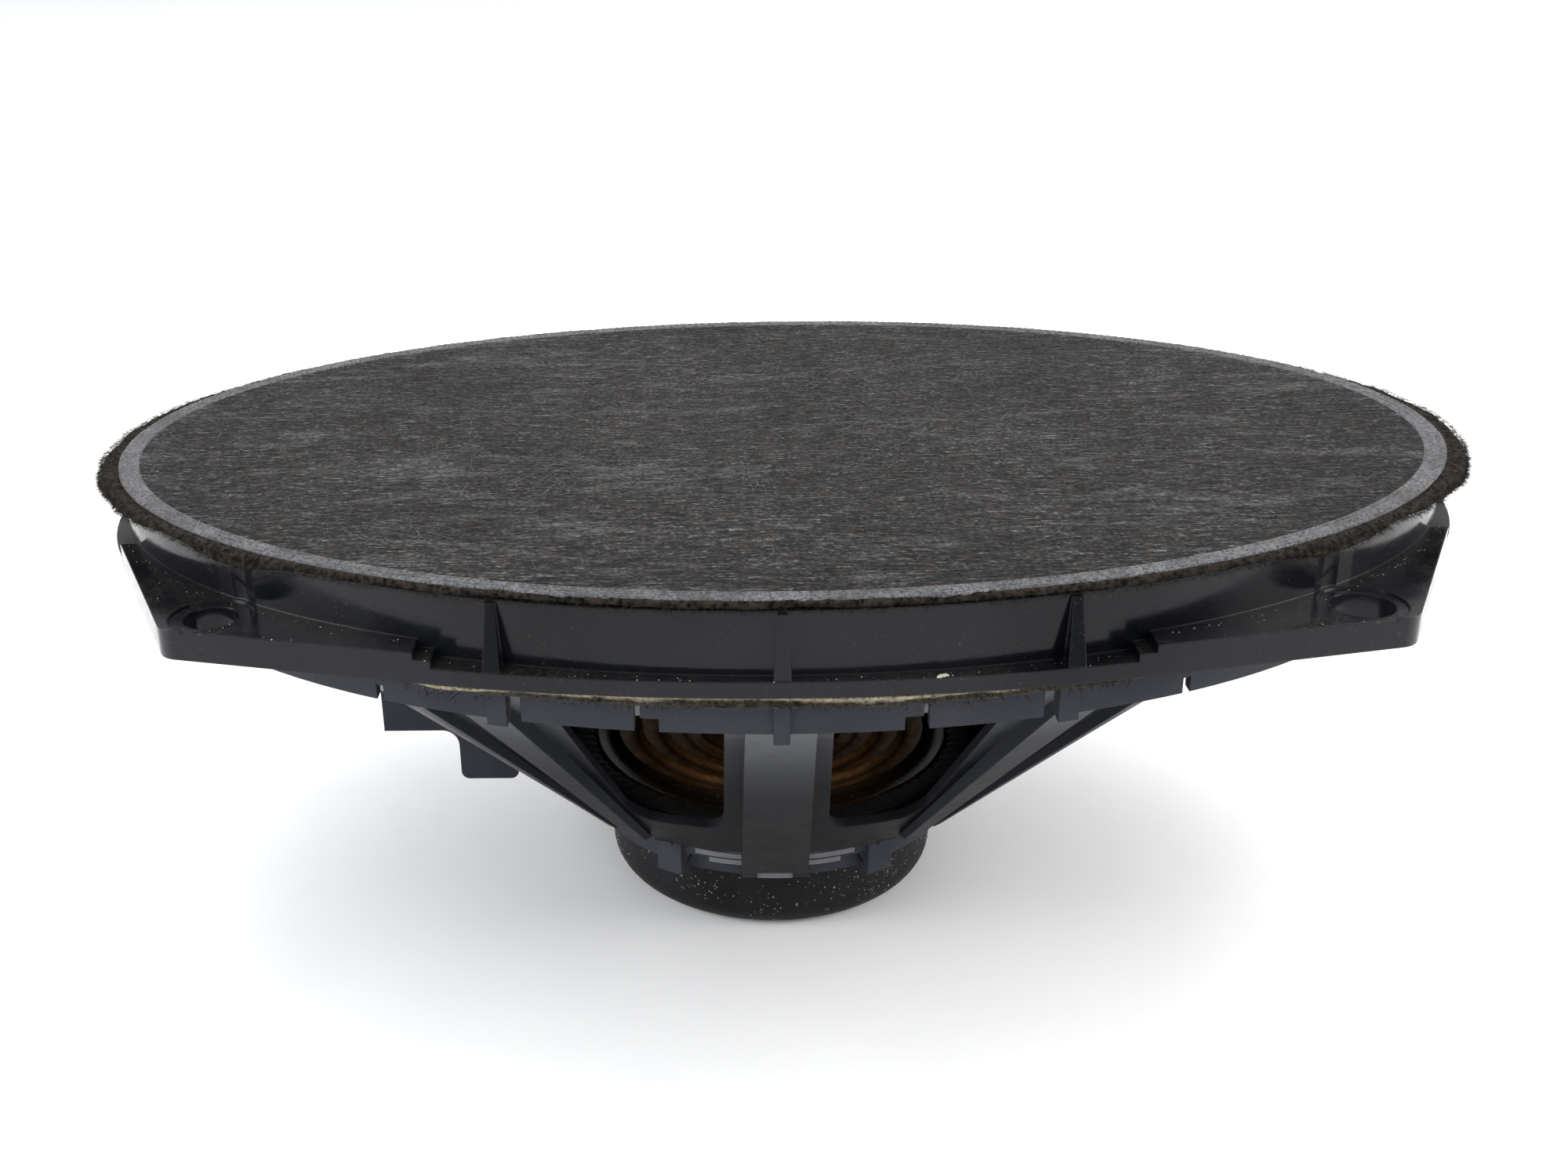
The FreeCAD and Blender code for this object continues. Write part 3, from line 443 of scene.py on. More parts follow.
def spider_cloth():
    """Resin-dipped cotton: an amber weave with painted shade in the fold valleys, and darker near the glue.
    """
    s = Stuff("spider_cloth")
    x, y = s.axis(0), s.axis(1)
    radius = s.math("SQRT", s.math("ADD", s.math("MULTIPLY", x, x), s.math("MULTIPLY", y, y)))
    threads_x = s.math("SINE", s.math("MULTIPLY", x, 7400.0))
    threads_y = s.math("SINE", s.math("MULTIPLY", y, 7400.0))
    weave = s.math("MULTIPLY", threads_x, threads_y)
    weave = s.unsigned(weave)
    mottled = s.noise(300, 5, 0.6)
    color = s.mix(s.ramp(mottled, [(0.3, 0.0), (0.7, 1.0)]), (0.3, 0.13, 0.038), (0.7, 0.36, 0.135))
    color = s.mix(s.ramp(weave, [(0.35, 0.35), (0.6, 0.0)]), color, (0.13, 0.056, 0.018))
    # Painted shade: dark lines in the valleys of the folds.
    folds = s.math("SINE", s.math("MULTIPLY", radius, TURN / FOLD_PITCH))
    crease_shade = s.ramp(s.unsigned(folds), [(0.0, 0.75), (0.14, 0.0)])
    color = s.mix(crease_shade, color, (0.05, 0.022, 0.008))
    outer = s.ramp(s.math("ADD", s.math("MULTIPLY", radius, 20.0), s.math("MULTIPLY", mottled, 0.012)),
                   [(0.556, 0.0), (0.575, 0.93)])
    color = s.mix(outer, color, (0.022, 0.015, 0.009))
    motes = s.math("MULTIPLY", s.ramp(s.noise(1600, 2, 0.5), [(0.68, 0.0), (0.71, 0.8)]), outer)
    color = s.mix(motes, color, (0.35, 0.33, 0.3))
    gloss = s.mix(outer, (0.62, 0.62, 0.62), (0.3, 0.3, 0.3))
    return s.finish(color, gloss, s.bump(weave, 0.35, 0.00012))


def boot_rubber():
    """Matte black rubber with a few pale dust marks."""
    s = Stuff("boot_rubber")
    fine = s.noise(1500, 5, 0.6)
    cloud = s.noise(70, 4, 0.6)
    specks = s.math("MULTIPLY", s.ramp(s.noise(900, 2, 0.5), [(0.68, 0.0), (0.71, 0.8)]),
                    s.ramp(cloud, [(0.45, 0.0), (0.6, 1.0)]))
    color = s.mix(s.ramp(cloud, [(0.3, 0.0), (0.7, 1.0)]), (0.0035, 0.0036, 0.0042),
                  (0.0105, 0.0108, 0.0122))
    color = s.mix(specks, color, (0.28, 0.27, 0.25))
    gloss = s.ramp(cloud, [(0.3, 0.46), (0.7, 0.62)])
    return s.finish(color, gloss, s.bump(fine, 0.3, 0.00012), IOR=1.22)


def brushed(name, color, rough, around_z=True):
    """Metal with fine lines: circular ones around Z, or else straight ones across X."""
    s = Stuff(name)
    lines = s.noise(1.0, 3, 0.6, s.scaled((30, 30, 4000) if around_z else (4000, 30, 30)))
    cloud = s.noise(120, 4, 0.6)
    tone = s.mix(s.ramp(lines, [(0.3, 0.0), (0.7, 1.0)]), tuple(0.75 * c for c in color), color)
    tone = s.mix(s.ramp(cloud, [(0.5, 0.0), (0.75, 0.3)]), tone, tuple(0.5 * c for c in color))
    gloss = s.ramp(cloud, [(0.3, rough), (0.7, rough + 0.18)])
    return s.finish(tone, gloss, s.bump(lines, 0.15, 0.00005), Metallic=1.0)


def wound(name, dark, light, pitch, metal):
    """Fine turns stacked along Z, as a coil or a braid shows them."""
    s = Stuff(name)
    turns = s.math("SINE", s.math("MULTIPLY", s.axis(2), TURN / pitch))
    shade = s.unsigned(turns)
    cloud = s.noise(500, 4, 0.6)
    color = s.mix(s.ramp(shade, [(0.1, 0.0), (0.8, 1.0)]), dark, light)
    color = s.mix(s.math("MULTIPLY", cloud, 0.3), color, dark)
    return s.finish(color, s.ramp(cloud, [(0.3, 0.28), (0.7, 0.45)]), s.bump(shade, 0.6, pitch * 0.3),
                    Metallic=metal)


MATERIALS = {
    "basket_plastic": moulding("basket_plastic", (0.022, 0.0235, 0.030), (0.042, 0.0435, 0.052),
                               (0.24, 0.42), waviness=0.15, ior=1.14, painted_light_below=True),
    "flange_plastic": moulding("flange_plastic", (0.0014, 0.0018, 0.0030), (0.0085, 0.0090, 0.0112),
                               (0.08, 0.24), waviness=0.4, ior=1.29),
    "felt": felt_cloth("felt", (0.003, 0.0025, 0.0021), (0.03, 0.0245, 0.0195)),
    "scrim": scrim_cloth(),
    "foam": foam_stuff(),
    "brass": brushed("brass", (0.72, 0.56, 0.3), 0.28, False),
    "boot_rubber": boot_rubber(),
    "plated_steel": brushed("plated_steel", (0.46, 0.46, 0.45), 0.3),
    "ferrite": plain_stuff("ferrite", (0.02, 0.02, 0.021), (0.05, 0.049, 0.048), (0.5, 0.75),
                           metal=0.3, grain=700, bump=0.4),
    "spider_ring": plain_stuff("spider_ring", (0.012, 0.011, 0.010), (0.03, 0.028, 0.026), (0.55, 0.8)),
    "spider_cloth": spider_cloth(),
    "surround_rubber": plain_stuff("surround_rubber", (0.010, 0.010, 0.011), (0.022, 0.022, 0.023),
                                   (0.42, 0.6), bump=0.3),
    "cone_paper": felt_cloth("cone_paper", (0.008, 0.008, 0.008), (0.032, 0.030, 0.028)),
    "aluminium": brushed("aluminium", (0.75, 0.75, 0.76), 0.25),
    "copper_wire": wound("copper_wire", (0.12, 0.035, 0.012), (0.62, 0.28, 0.12), 0.00035, 0.9),
    "tinsel": wound("tinsel", (0.2, 0.1, 0.05), (0.62, 0.42, 0.27), 0.0005, 0.8),
    "tweeter_plastic": plain_stuff("tweeter_plastic", (0.010, 0.010, 0.011), (0.022, 0.022, 0.024),
                                   (0.3, 0.45)),
    "neodymium": brushed("neodymium", (0.66, 0.65, 0.62), 0.18),
    "dome_cloth": felt_cloth("dome_cloth", (0.035, 0.03, 0.026), (0.12, 0.1, 0.085)),
    "capacitor_sleeve": plain_stuff("capacitor_sleeve", (0.02, 0.045, 0.16), (0.05, 0.09, 0.25),
                                    (0.2, 0.35)),
    "lead_insulation": plain_stuff("lead_insulation", (0.010, 0.010, 0.010), (0.024, 0.024, 0.024),
                                   (0.4, 0.55)),
}
BEAD = bead_cloth()
LINT = felt_cloth("pale_lint", (0.09, 0.09, 0.093), (0.25, 0.25, 0.26))
GREY_FIBRE = felt_cloth("grey_fibre", (0.025, 0.0245, 0.025), (0.1, 0.098, 0.1))
FELT_FIBRE = felt_cloth("felt_fibre", (0.006, 0.0055, 0.005), (0.035, 0.03, 0.025))
# Painted highlight: the pale grey of the bands on the seat's step edges.
PAINTED_HIGHLIGHT = plain_stuff("painted_highlight", (0.075, 0.077, 0.084), (0.13, 0.133, 0.142), (0.4, 0.6))
GRIT = plain_stuff("grit", (0.2, 0.17, 0.12), (0.5, 0.46, 0.38), (0.7, 0.9), grain=3000)


def finish_cad_nodes():
    """Gives every CAD node the material of its slot in the record."""
    for part in frame["record"]["subparts"]:
        mesh = frame["nodes"][part["node"]].data
        mesh.materials.clear()
        mesh.materials.append(MATERIALS[part["material_slot"]])


# ---- front cover
def cloth_height(x, y):
    """The stretched cloth is nearly flat: a slight sag with shallow unevenness."""
    rho = min(1.0, math.hypot(x / SCRIM[0], y / SCRIM[1]))
    edge = 1 - rho ** 6
    uneven = 0.16 * wobble(x, y, 0, 0.03, 3.1) + 0.07 * wobble(x, y, 0, 0.009, 8.4)
    return (-0.45 * (1 - rho * rho) + uneven * edge) * MM


def scrim_piece():
    """Cloth disc out to the weld bead, as one closed thin sheet."""
    rings, around = 26 * DETAIL, 128 * DETAIL
    inner = (SCRIM[0] - BEAD_INSET * BEAD_WIDTH, SCRIM[1] - BEAD_INSET * BEAD_WIDTH)
    verts, faces = [], []
    for top in (True, False):
        base = len(verts)
        drop = 0 if top else CLOTH_THICKNESS
        verts.append((0, 0, SCRIM_Z - CLOTH_DROP - drop + cloth_height(0, 0)))
        for r in range(1, rings + 1):
            share = math.sqrt(r / rings) if r < rings else 1.0
            for i in range(around):
                a = TURN * i / around
                x, y = inner[0] * share * math.cos(a), inner[1] * share * math.sin(a)
                verts.append((x, y, SCRIM_Z - CLOTH_DROP - drop + cloth_height(x, y)))
        for i in range(around):
            j = (i + 1) % around
            tri = (base, base + 1 + i, base + 1 + j)
            faces.append(tri if top else tri[::-1])
        for r in range(rings - 1):
            for i in range(around):
                j = (i + 1) % around
                a = base + 1 + r * around
                quad = (a + i, a + around + i, a + around + j, a + j)
                faces.append(quad if top else quad[::-1])
    size = 1 + rings * around
    rim = 1 + (rings - 1) * around
    for i in range(around):
        j = (i + 1) % around
        faces.append((rim + i, size + rim + i, size + rim + j, rim + j))
    piece = new_piece("scrim_cloth", verts, faces, MATERIALS["scrim"])
    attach(piece, "frame")
    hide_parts("scrim_cover")
    return piece


def bead_piece():
    """Welded edge of the cloth: three low ridges, with a stitched look on the outermost."""
    count = 900 * DETAIL
    angles, length = even_angles(SCRIM, count)
    ticks = round(length / TICK_PITCH)
    steps = 24
    across = [(-BEAD_WIDTH * (k / steps), k / steps) for k in range(steps + 1)]
    verts = []
    for i, a in enumerate(angles):
        x0, y0, nx, ny = on_oval(SCRIM, a)
        tick = math.sin(TURN * ticks * i / count)
        rough = wobble(x0, y0, 0, 0.004, 1.3)
        drawn = BEAD_SIDE_MARGIN * ny * ny
        for back, t in across:
            ridge = 0.16 * (1 - math.cos(TURN * BEAD_RIDGES * t)) / 2 + 0.1
            if t < 0.2:
                ridge += 0.06 * tick * math.sin(math.pi * t / 0.2)
            ridge *= math.sin(math.pi * min(1, t * 9) / 2)
            ridge -= 0.12 * max(0.0, t - 0.85) / 0.15
            out = back - drawn * (1 - t) + 0.12 * MM * rough + (0.05 * MM * tick if t < 0.1 else 0)
            z = SCRIM_Z + (ridge - 0.12 + 0.05 * rough) * MM
            verts.append((x0 + nx * out, y0 + ny * out, z))
        out = 0.12 * MM * rough - drawn
        low = FELT_Z[1] - 0.1 * MM
        verts.append((x0 - nx * (BEAD_WIDTH * 0.98), y0 - ny * (BEAD_WIDTH * 0.98), low))
        verts.append((x0 + nx * (out - 0.1 * MM), y0 + ny * (out - 0.1 * MM), low))
    piece = new_piece("weld_bead", verts, ring_faces(count, len(across) + 2, True), BEAD)
    piece.data.flip_normals()
    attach(piece, "frame")
    return piece


def pocket_bulge(x, y):
    """Extra reach of the felt where the skirt has a screw pocket, from 0 to 1."""
    mount = frame["record"]["mounts"][0]
    far_x = abs(mount["pos_m"][0])
    far_y = mount["dims"]["spacing_y_mm"] * MM / 2
    away = math.hypot(abs(x) - far_x, abs(y) - far_y)
    return math.exp(-(away / POCKET_REACH) ** 2)


def felt_section(a):
    """Point of the felt's oval, its normal, the reach beyond it and how much it sags, 0 to 1."""
    x, y, nx, ny = on_oval(FELT, a)
    rag = 0.45 * wobble(x, y, 0, 0.006, 5.0) + 0.22 * wobble(x, y, 0, 0.0017, 9.0)
    bulge = pocket_bulge(x, y)
    end = max(0.0, abs(math.cos(a)) - 0.8) / 0.2
    out = rag - 0.35 - 0.4 * ny * ny + 0.8 * bulge + 0.9 * end
    return x, y, nx, ny, out * MM, max(bulge, 0.9 * end)


def felt_piece():
    """Soft felt ring between the moulding's rim and the cloth, with a ragged edge."""
    count = 700 * DETAIL
    angles = even_angles(FELT, count)[0]
    low, high = FELT_Z
    verts = []
    for a in angles:
        x, y, nx, ny, out, bulge = felt_section(a)
        sag = (1.4 * bulge + 0.3 * wobble(x, y, 0, 0.01, 2.2) + 0.1 - 0.4 * ny * ny) * MM
        hug = (0.34 * ny * ny + 0.1 * wobble(x, y, 0, 0.0025, 6.6)) * MM
        ring = (
            (-FELT_DEPTH, high),
            (-3.0 * MM, high + 0.02 * MM),
            (-1.15 * MM + out, high + hug),
            (-0.4 * MM + out, high - 0.12 * MM - sag * 0.5 + hug),
            (out, high - 0.45 * MM - sag * 0.8),
            (-0.15 * MM + out, low + 0.15 * MM - sag),
            (-0.6 * MM + out, low - 0.02 * MM - sag),
            (-2.4 * MM + out, low + 0.05 * MM - 0.3 * sag),
            (-FELT_DEPTH, low + 0.05 * MM),
        )
        for k, (reach, z) in enumerate(ring):
            lump = 0.16 * MM * wobble(x + k * 0.01, y, z, 0.0013, 4.4) if 1 < k < 7 else 0
            verts.append((x + nx * (reach + lump), y + ny * (reach + lump), z + lump))
    piece = new_piece("felt_ring", verts, ring_faces(count, len(ring), True), MATERIALS["felt"])
    piece.data.flip_normals()
    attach(piece, "frame")
    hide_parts("felt_rim")


def felt_fuzz():
    """Short fibres that stand out of the felt's cut edge."""
    rng = random.Random(11)
    fuzz = Strands()
    low, high = FELT_Z
    for _ in range(FELT_EDGE_FIBRES):
        a = rng.uniform(0, TURN)
        x, y, nx, ny, out, bulge = felt_section(a)
        z = rng.uniform(low - 0.2 * MM - 1.3 * bulge * MM, high)
        reach = rng.uniform(0.25, 0.8) * MM * (1.4 if rng.random() < 0.06 else 1)
        slant = rng.uniform(-1, 1)
        lift = rng.uniform(-0.7, 0.6)
        start = Vector((x + nx * (out - 0.3 * MM), y + ny * (out - 0.3 * MM), z))
        heading = Vector((nx - ny * slant, ny + nx * slant, lift)).normalized()
        curl = Vector((rng.uniform(-1, 1), rng.uniform(-1, 1), rng.uniform(-1, 0.4))) * 0.5
        points = []
        for k in range(4):
            t = k / 3
            points.append(start + heading * ((reach + 0.25 * MM) * t) + curl * (reach * t * t))
        fuzz.add(points, rng.uniform(0.018, 0.035) * MM)
    for _ in range(FELT_TOP_FIBRES):
        a = rng.uniform(0, TURN)
        x, y, nx, ny, out, bulge = felt_section(a)
        back = rng.uniform(-2.6, -0.2) * MM
        start = Vector((x + nx * (out + back), y + ny * (out + back), high - 0.05 * MM))
        turn = rng.uniform(0, TURN)
        run = Vector((math.cos(turn), math.sin(turn), 0)) * rng.uniform(0.3, 1.0) * MM
        rise = rng.uniform(0.1, 0.35) * MM
        points = [start, start + run * 0.5 + Vector((0, 0, rise)), start + run + Vector((0, 0, rise * 0.4))]
        fuzz.add(points, rng.uniform(0.018, 0.032) * MM)
    piece = fuzz.piece("felt_fuzz", FELT_FIBRE)
    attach(piece, "frame")


def curly(rng, x, y, length, bend, step=0.6 * MM):
    """Points of a fibre that lies on the cloth and wanders."""
    heading = rng.uniform(0, TURN)
    turn = rng.uniform(-bend, bend)
    points = []
    for _ in range(max(3, int(length / step))):
        if math.hypot(x / (SCRIM[0] - 4 * MM), y / (SCRIM[1] - 4 * MM)) > 1:
            break
        points.append(Vector((x, y, SCRIM_Z + cloth_height(x, y) + 0.03 * MM)))
        turn += rng.uniform(-bend, bend) * 0.5
        turn *= 0.93
        heading += turn
        x += math.cos(heading) * step
        y += math.sin(heading) * step
    return points


def spot_on_cloth(rng, share):
    """Random place on the cloth, within the given share of its size."""
    rho, a = math.sqrt(rng.random()) * share, rng.uniform(0, TURN)
    return SCRIM[0] * rho * math.cos(a), SCRIM[1] * rho * math.sin(a)


def cloth_fibres():
    """Loose fibres of the cloth itself: short, nearly straight, mostly lengthwise."""
    rng = random.Random(23)
    fibres = Strands()
    for _ in range(CLOTH_FIBRES):
        x, y = (0.98 * c for c in spot_on_cloth(rng, 0.965))
        heading = rng.gauss(0, 0.22) + (0 if rng.random() < 0.85 else rng.uniform(-1, 1))
        length = rng.uniform(0.8, 4.0) * MM
        bend = rng.uniform(-0.35, 0.35)
        points = []
        for k in range(4):
            t = k / 3
            px = x + math.cos(heading + bend * t) * length * t
            py = y + math.sin(heading + bend * t) * length * t
            if math.hypot(px / (SCRIM[0] - 3.8 * MM), py / (SCRIM[1] - 3.8 * MM)) > 1:
                break
            points.append(Vector((px, py, SCRIM_Z + cloth_height(px, py) - 0.03 * MM)))
        if len(points) == 4:
            fibres.add(points, rng.uniform(0.02, 0.042) * MM, 0.6)
    piece = fibres.piece("cloth_fibres", GREY_FIBRE)
    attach(piece, "frame")
    return piece


def pale_lint():
    """Pale hairs and threads caught on the cloth, alone and in loose clusters."""
    rng = random.Random(37)
    lint = Strands()
    for _ in range(LONG_HAIRS):
        points = curly(rng, *spot_on_cloth(rng, 0.93), rng.uniform(4, 26) * MM, 0.1)
        if len(points) > 3:
            lint.add(points, rng.uniform(0.018, 0.034) * MM, 0.7)
    for _ in range(SHORT_HAIRS):
        points = curly(rng, *spot_on_cloth(rng, 0.95), rng.uniform(0.8, 3.5) * MM, 0.4, 0.35 * MM)
        if len(points) > 2:
            lint.add(points, rng.uniform(0.014, 0.028) * MM, 0.7)
    for _ in range(HAIR_CLUSTERS):
        middle = spot_on_cloth(rng, 0.85)
        spread = rng.uniform(4, 13) * MM
        for _ in range(rng.randint(12, 36)):
            x = middle[0] + rng.gauss(0, spread)
            y = middle[1] + rng.gauss(0, 0.7 * spread)
            points = curly(rng, x, y, rng.uniform(1.5, 9) * MM, 0.06)
            if len(points) > 3:
                lint.add(points, rng.uniform(0.022, 0.036) * MM, 0.7)
    piece = lint.piece("pale_lint", LINT)
    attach(piece, "frame")
    return piece


# ---- gasket
def gasket_swell(x, y):
    """How far the foam has squeezed out, in millimetres: a slow wave and a few lumps."""
    swell = 0.45 * wobble(x, y, 0, 0.022, 6.1)
    for at, width, size in GASKET_LUMPS:
        swell += size * math.exp(-((x / MM - at) / width) ** 2)
    return swell - 0.25


def gasket_piece():
    """Foam strip under the flange: squeezed, uneven and frayed at its outer edge."""
    count = 560 * DETAIL
    angles = even_angles(GASKET, count)[0]
    low, high = GASKET_Z
    verts = []
    for a in angles:
        x, y, nx, ny = on_oval(GASKET, a)
        quick = wobble(x, y, 0, 0.0035, 2.9)
        swell = (gasket_swell(x, y) + 0.28 * quick) * MM
        fray = 0.35 * MM * wobble(x, y, 0, 0.0014, 7.7)
        sag = (0.35 * wobble(x, y, 0, 0.015, 4.9) + 0.25 * quick - 0.1) * MM
        ring = (
            (-GASKET_WIDTH, high - 0.02 * MM),
            (-0.8 * MM, high - 0.02 * MM),
            (0.2 * MM + swell + fray, high - 0.1 * MM),
            (0.3 * MM + swell + fray, high - 0.55 * MM),
            (-0.15 * MM + swell, high - 0.8 * MM),
            (-0.2 * MM + 0.7 * swell, high - 1.3 * MM),
            (-0.1 * MM + 0.5 * swell, low + 0.5 * MM - sag),
            (-0.7 * MM + 0.3 * swell, low - sag * 0.6),
            (-GASKET_WIDTH, low - sag * 0.4),
        )
        for k, (reach, z) in enumerate(ring):
            lump = 0.14 * MM * wobble(x, y + 0.02 * k, z, 0.0016, 3.8) if 1 < k < 8 else 0
            verts.append((x + nx * (reach + lump), y + ny * (reach + lump), z + lump * 0.6))
    piece = new_piece("foam_gasket", verts, ring_faces(count, len(ring), True), MATERIALS["foam"])
    piece.data.flip_normals()
    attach(piece, "frame")
    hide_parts("mounting_gasket")


def gasket_fuzz():
    """Torn foam crumbs and fibres along the strip's outer edge."""
    rng = random.Random(53)
    fuzz = Strands()
    for _ in range(GASKET_FIBRES):
        a = rng.uniform(0, TURN)
        x, y, nx, ny = on_oval(GASKET, a)
        out = gasket_swell(x, y) * MM
        z = rng.uniform(GASKET_Z[0], GASKET_Z[1] - 0.1 * MM)
        start = Vector((x + nx * (out - 0.5 * MM), y + ny * (out - 0.5 * MM), z))
        slant = rng.uniform(-1.4, 1.4)
        heading = Vector((nx - ny * slant, ny + nx * slant, rng.uniform(-0.8, 0.3))).normalized()
        size = rng.uniform(0.5, 1.25) * MM
        points = [start, start + heading * size * 0.6, start + heading * size + Vector((0, 0, -0.2 * size))]
        fuzz.add(points, rng.uniform(0.03, 0.09) * MM, 0.3)
    piece = fuzz.piece("gasket_fray", MATERIALS["foam"])
    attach(piece, "frame")


# ---- suspension
def blend_by(piece):
    """Bakes the piece's placement into its mesh.
    """
    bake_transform(piece)


def spider_piece():
    """Corrugated cloth disc with flat lands, glued at the coil former and on the ledge."""
    around = 180 * DETAIL
    low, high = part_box("spider")
    rim = (high[0] - low[0]) / 2
    first, last = SPIDER_FOLDS
    steps = 72
    radii = [SPIDER_NECK + (first - SPIDER_NECK) * k / 3 for k in range(3)]
    radii += [first + (last - first) * k / steps for k in range(steps + 1)]
    radii += [last + (rim - last) * k / 4 for k in range(1, 5)]
    across = []
    for top in (True, False):
        for r in radii if top else reversed(radii):
            t = (r - first) / (last - first)
            swing = 0.0
            if 0 < t < 1:
                swing = 1.9 * abs(math.sin(math.pi * SPIDER_WAVES * t)) ** 0.8 - 1.25
                swing *= math.sin(math.pi * t) ** 0.4
                swing *= -0.8 * MM
            across.append((r, SPIDER_LEVEL + swing + (SPIDER_THICKNESS if top else 0)))
    verts, weights = [], []
    for i in range(around):
        a = TURN * i / around
        for r, z in across:
            tooth = 1.0
            if r > rim - 0.01 * MM:
                tooth = 1 - 0.006 * (1 + math.sin(RIM_TEETH * a))
            drift = 0.12 * MM * wobble(r * math.cos(a), r * math.sin(a), 0, 0.008, 1.9)
            verts.append((r * tooth * math.cos(a), r * tooth * math.sin(a),
                          z + (drift if r < last else 0)))
            t = min(1.0, max(0.0, (last - r) / (last - first)))
            weights.append(t * t * (3 - 2 * t))
    piece = new_piece("spider_cloth", verts, ring_faces(around, len(across), True),
                      MATERIALS["spider_cloth"])
    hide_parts("spider")
    blend_by(piece)


def spider_glue():
    """Toothed edge of the ring that holds the spider, and the glue that has run over it."""
    around = 480 * DETAIL
    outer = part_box("spider")[1][0]
    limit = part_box("spider")[1][2] + 1.5 * MM
    profile = ((-3.7, 0.0), (-3.2, 0.25), (-2.4, 0.42), (-1.2, 0.5), (-0.4, 0.42), (0.0, 0.1), (0.0, -0.5))
    verts = []
    for i in range(around):
        a = TURN * i / around
        tooth = 0.5 + 0.5 * math.sin(GLUE_TEETH * a)
        for k, (reach, rise) in enumerate(profile):
            r = outer + reach * MM
            lump = wobble(r * math.cos(a), r * math.sin(a), 0, 0.003, 5.5)
            if k < 3:
                r += (0.5 * lump - 0.5 * tooth) * MM
            swell = rise * (0.55 + 0.45 * tooth if k < 4 else 1.0) + 0.1 * lump * (0 < k < 5)
            verts.append((r * math.cos(a), r * math.sin(a), min(GLUE_TOP + swell * MM, limit)))
    piece = new_piece("spider_glue", verts, ring_faces(around, len(profile), True),
                      MATERIALS["spider_ring"])
    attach(piece, "frame")


def seat_highlights():
    """Pale bands that paint highlights on the edges of the seat's steps, where they show between the seat,
    its clips and the spokes.
    """
    verts, faces = [], []
    steps = 24
    for inner, outer, z0, z1, near, far in SEAT_STRIPS:
        for side in (-1, 1):
            for way in (-1, 1):
                start = math.asin(near / outer)
                stop = math.asin(far / outer)
                base = len(verts)
                for k in range(steps + 1):
                    a = start + (stop - start) * k / steps
                    for r, z in ((inner, z0), (outer, z0), (outer, z1), (inner, z1)):
                        verts.append((way * r * math.sin(a) * MM, side * r * math.cos(a) * MM, z * MM))
                for k in range(steps):
                    for m in range(4):
                        n = (m + 1) % 4
                        a, b = base + 4 * k, base + 4 * k + 4
                        face = (a + m, a + n, b + n, b + m)
                        faces.append(face if side * way > 0 else face[::-1])
                caps = ((base, base + 3, base + 2, base + 1),
                        tuple(base + 4 * steps + m for m in range(4)))
                faces += [c if side * way > 0 else c[::-1] for c in caps]
    piece = new_piece("seat_highlights", verts, faces, PAINTED_HIGHLIGHT, False)
    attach(piece, "frame")


def surround_piece():
    """Rubber half roll between the basket's ledge and the cone's mouth."""
    around = 220 * DETAIL
    low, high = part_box("surround")
    lip, roll, thick = SURROUND_LIP, SURROUND_ROLL, SURROUND_THICKNESS
    half = ((high[0] - low[0]) / 2 - lip - roll, (high[1] - low[1]) / 2 - lip - roll)
    base = low[2]
    arcs = 20
    across = []
    for top in (True, False):
        rise = thick if top else 0.0
        r = roll - (0.0 if top else thick)
        row = [(-roll - lip, rise), (-roll - lip * 0.5, rise)]
        row += [(-r * math.cos(math.pi * k / arcs), rise + r * 0.92 * math.sin(math.pi * k / arcs))
                for k in range(arcs + 1)]
        row += [(roll + lip * 0.5, rise), (roll + lip, rise)]
        across += row if top else row[::-1]
    verts, weights = [], []
    for i in range(around):
        x, y, nx, ny = on_oval(half, TURN * i / around)
        for out, z in across:
            verts.append((x + nx * out, y + ny * out, base + z))
            t = min(1.0, max(0.0, (roll - out) / (2 * roll)))
            weights.append(t * t * (3 - 2 * t))
    piece = new_piece("surround_roll", verts, ring_faces(around, len(across), True),
                      MATERIALS["surround_rubber"])
    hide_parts("surround")
    blend_by(piece)


# ---- leads
def lead_piece(name, route, diameter, material, replaced=()):
    """One flexible lead on a smooth curve."""
    curve = bpy.data.curves.new(name + "_line", "CURVE")
    curve.dimensions = "3D"
    spline = curve.splines.new("NURBS")
    spline.points.add(len(route) - 1)
    for point, (x, y, z) in zip(spline.points, route):
        point.co = (x * MM, y * MM, z * MM, 1)
    spline.use_endpoint_u = True
    spline.order_u = 4
    spline.resolution_u = 12
    helper = bpy.data.objects.new(name + "_line", curve)
    path = [v.co.copy() for v in bpy.data.meshes.new_from_object(helper).vertices]
    bpy.data.objects.remove(helper)
    tube = Strands()
    tube.add(path, diameter / 2, 1.0, 12)
    piece = tube.piece(name, material)
    if replaced:
        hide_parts(*replaced)
    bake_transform(piece)


def leads():
    """Two braided leads from the tags to the cone and two insulated ones on to the tweeter."""
    for side, word in ((-1, "front"), (1, "rear")):
        lead_piece("tinsel_lead_" + word,
                   [(-59.6, side * 3.2, 44.6), (-51.5, side * 4.4, 39.4), (-42.0, side * 5.4, 34.6),
                    (-33.5, side * 6.3, 33.0), (-27.6, side * 6.9, 34.2), (-26.0, side * 7.0, 37.3)],
                   LEAD_DIAMETER, MATERIALS["tinsel"],
                   ("tinsel_leads",) if side < 0 else ())
        lead_piece("tweeter_lead_" + word,
                   [(-13.5, side * 3.0, 58.6), (-13.5, side * 3.0, 53.5), (-15.0, side * 3.8, 48.6),
                    (-19.4, side * 5.2, 45.6), (-24.0, side * 6.5, 45.8), (-26.0, side * 7.0, 43.8)],
                   LEAD_DIAMETER, MATERIALS["lead_insulation"],
                   ("tweeter_leads",) if side < 0 else ())


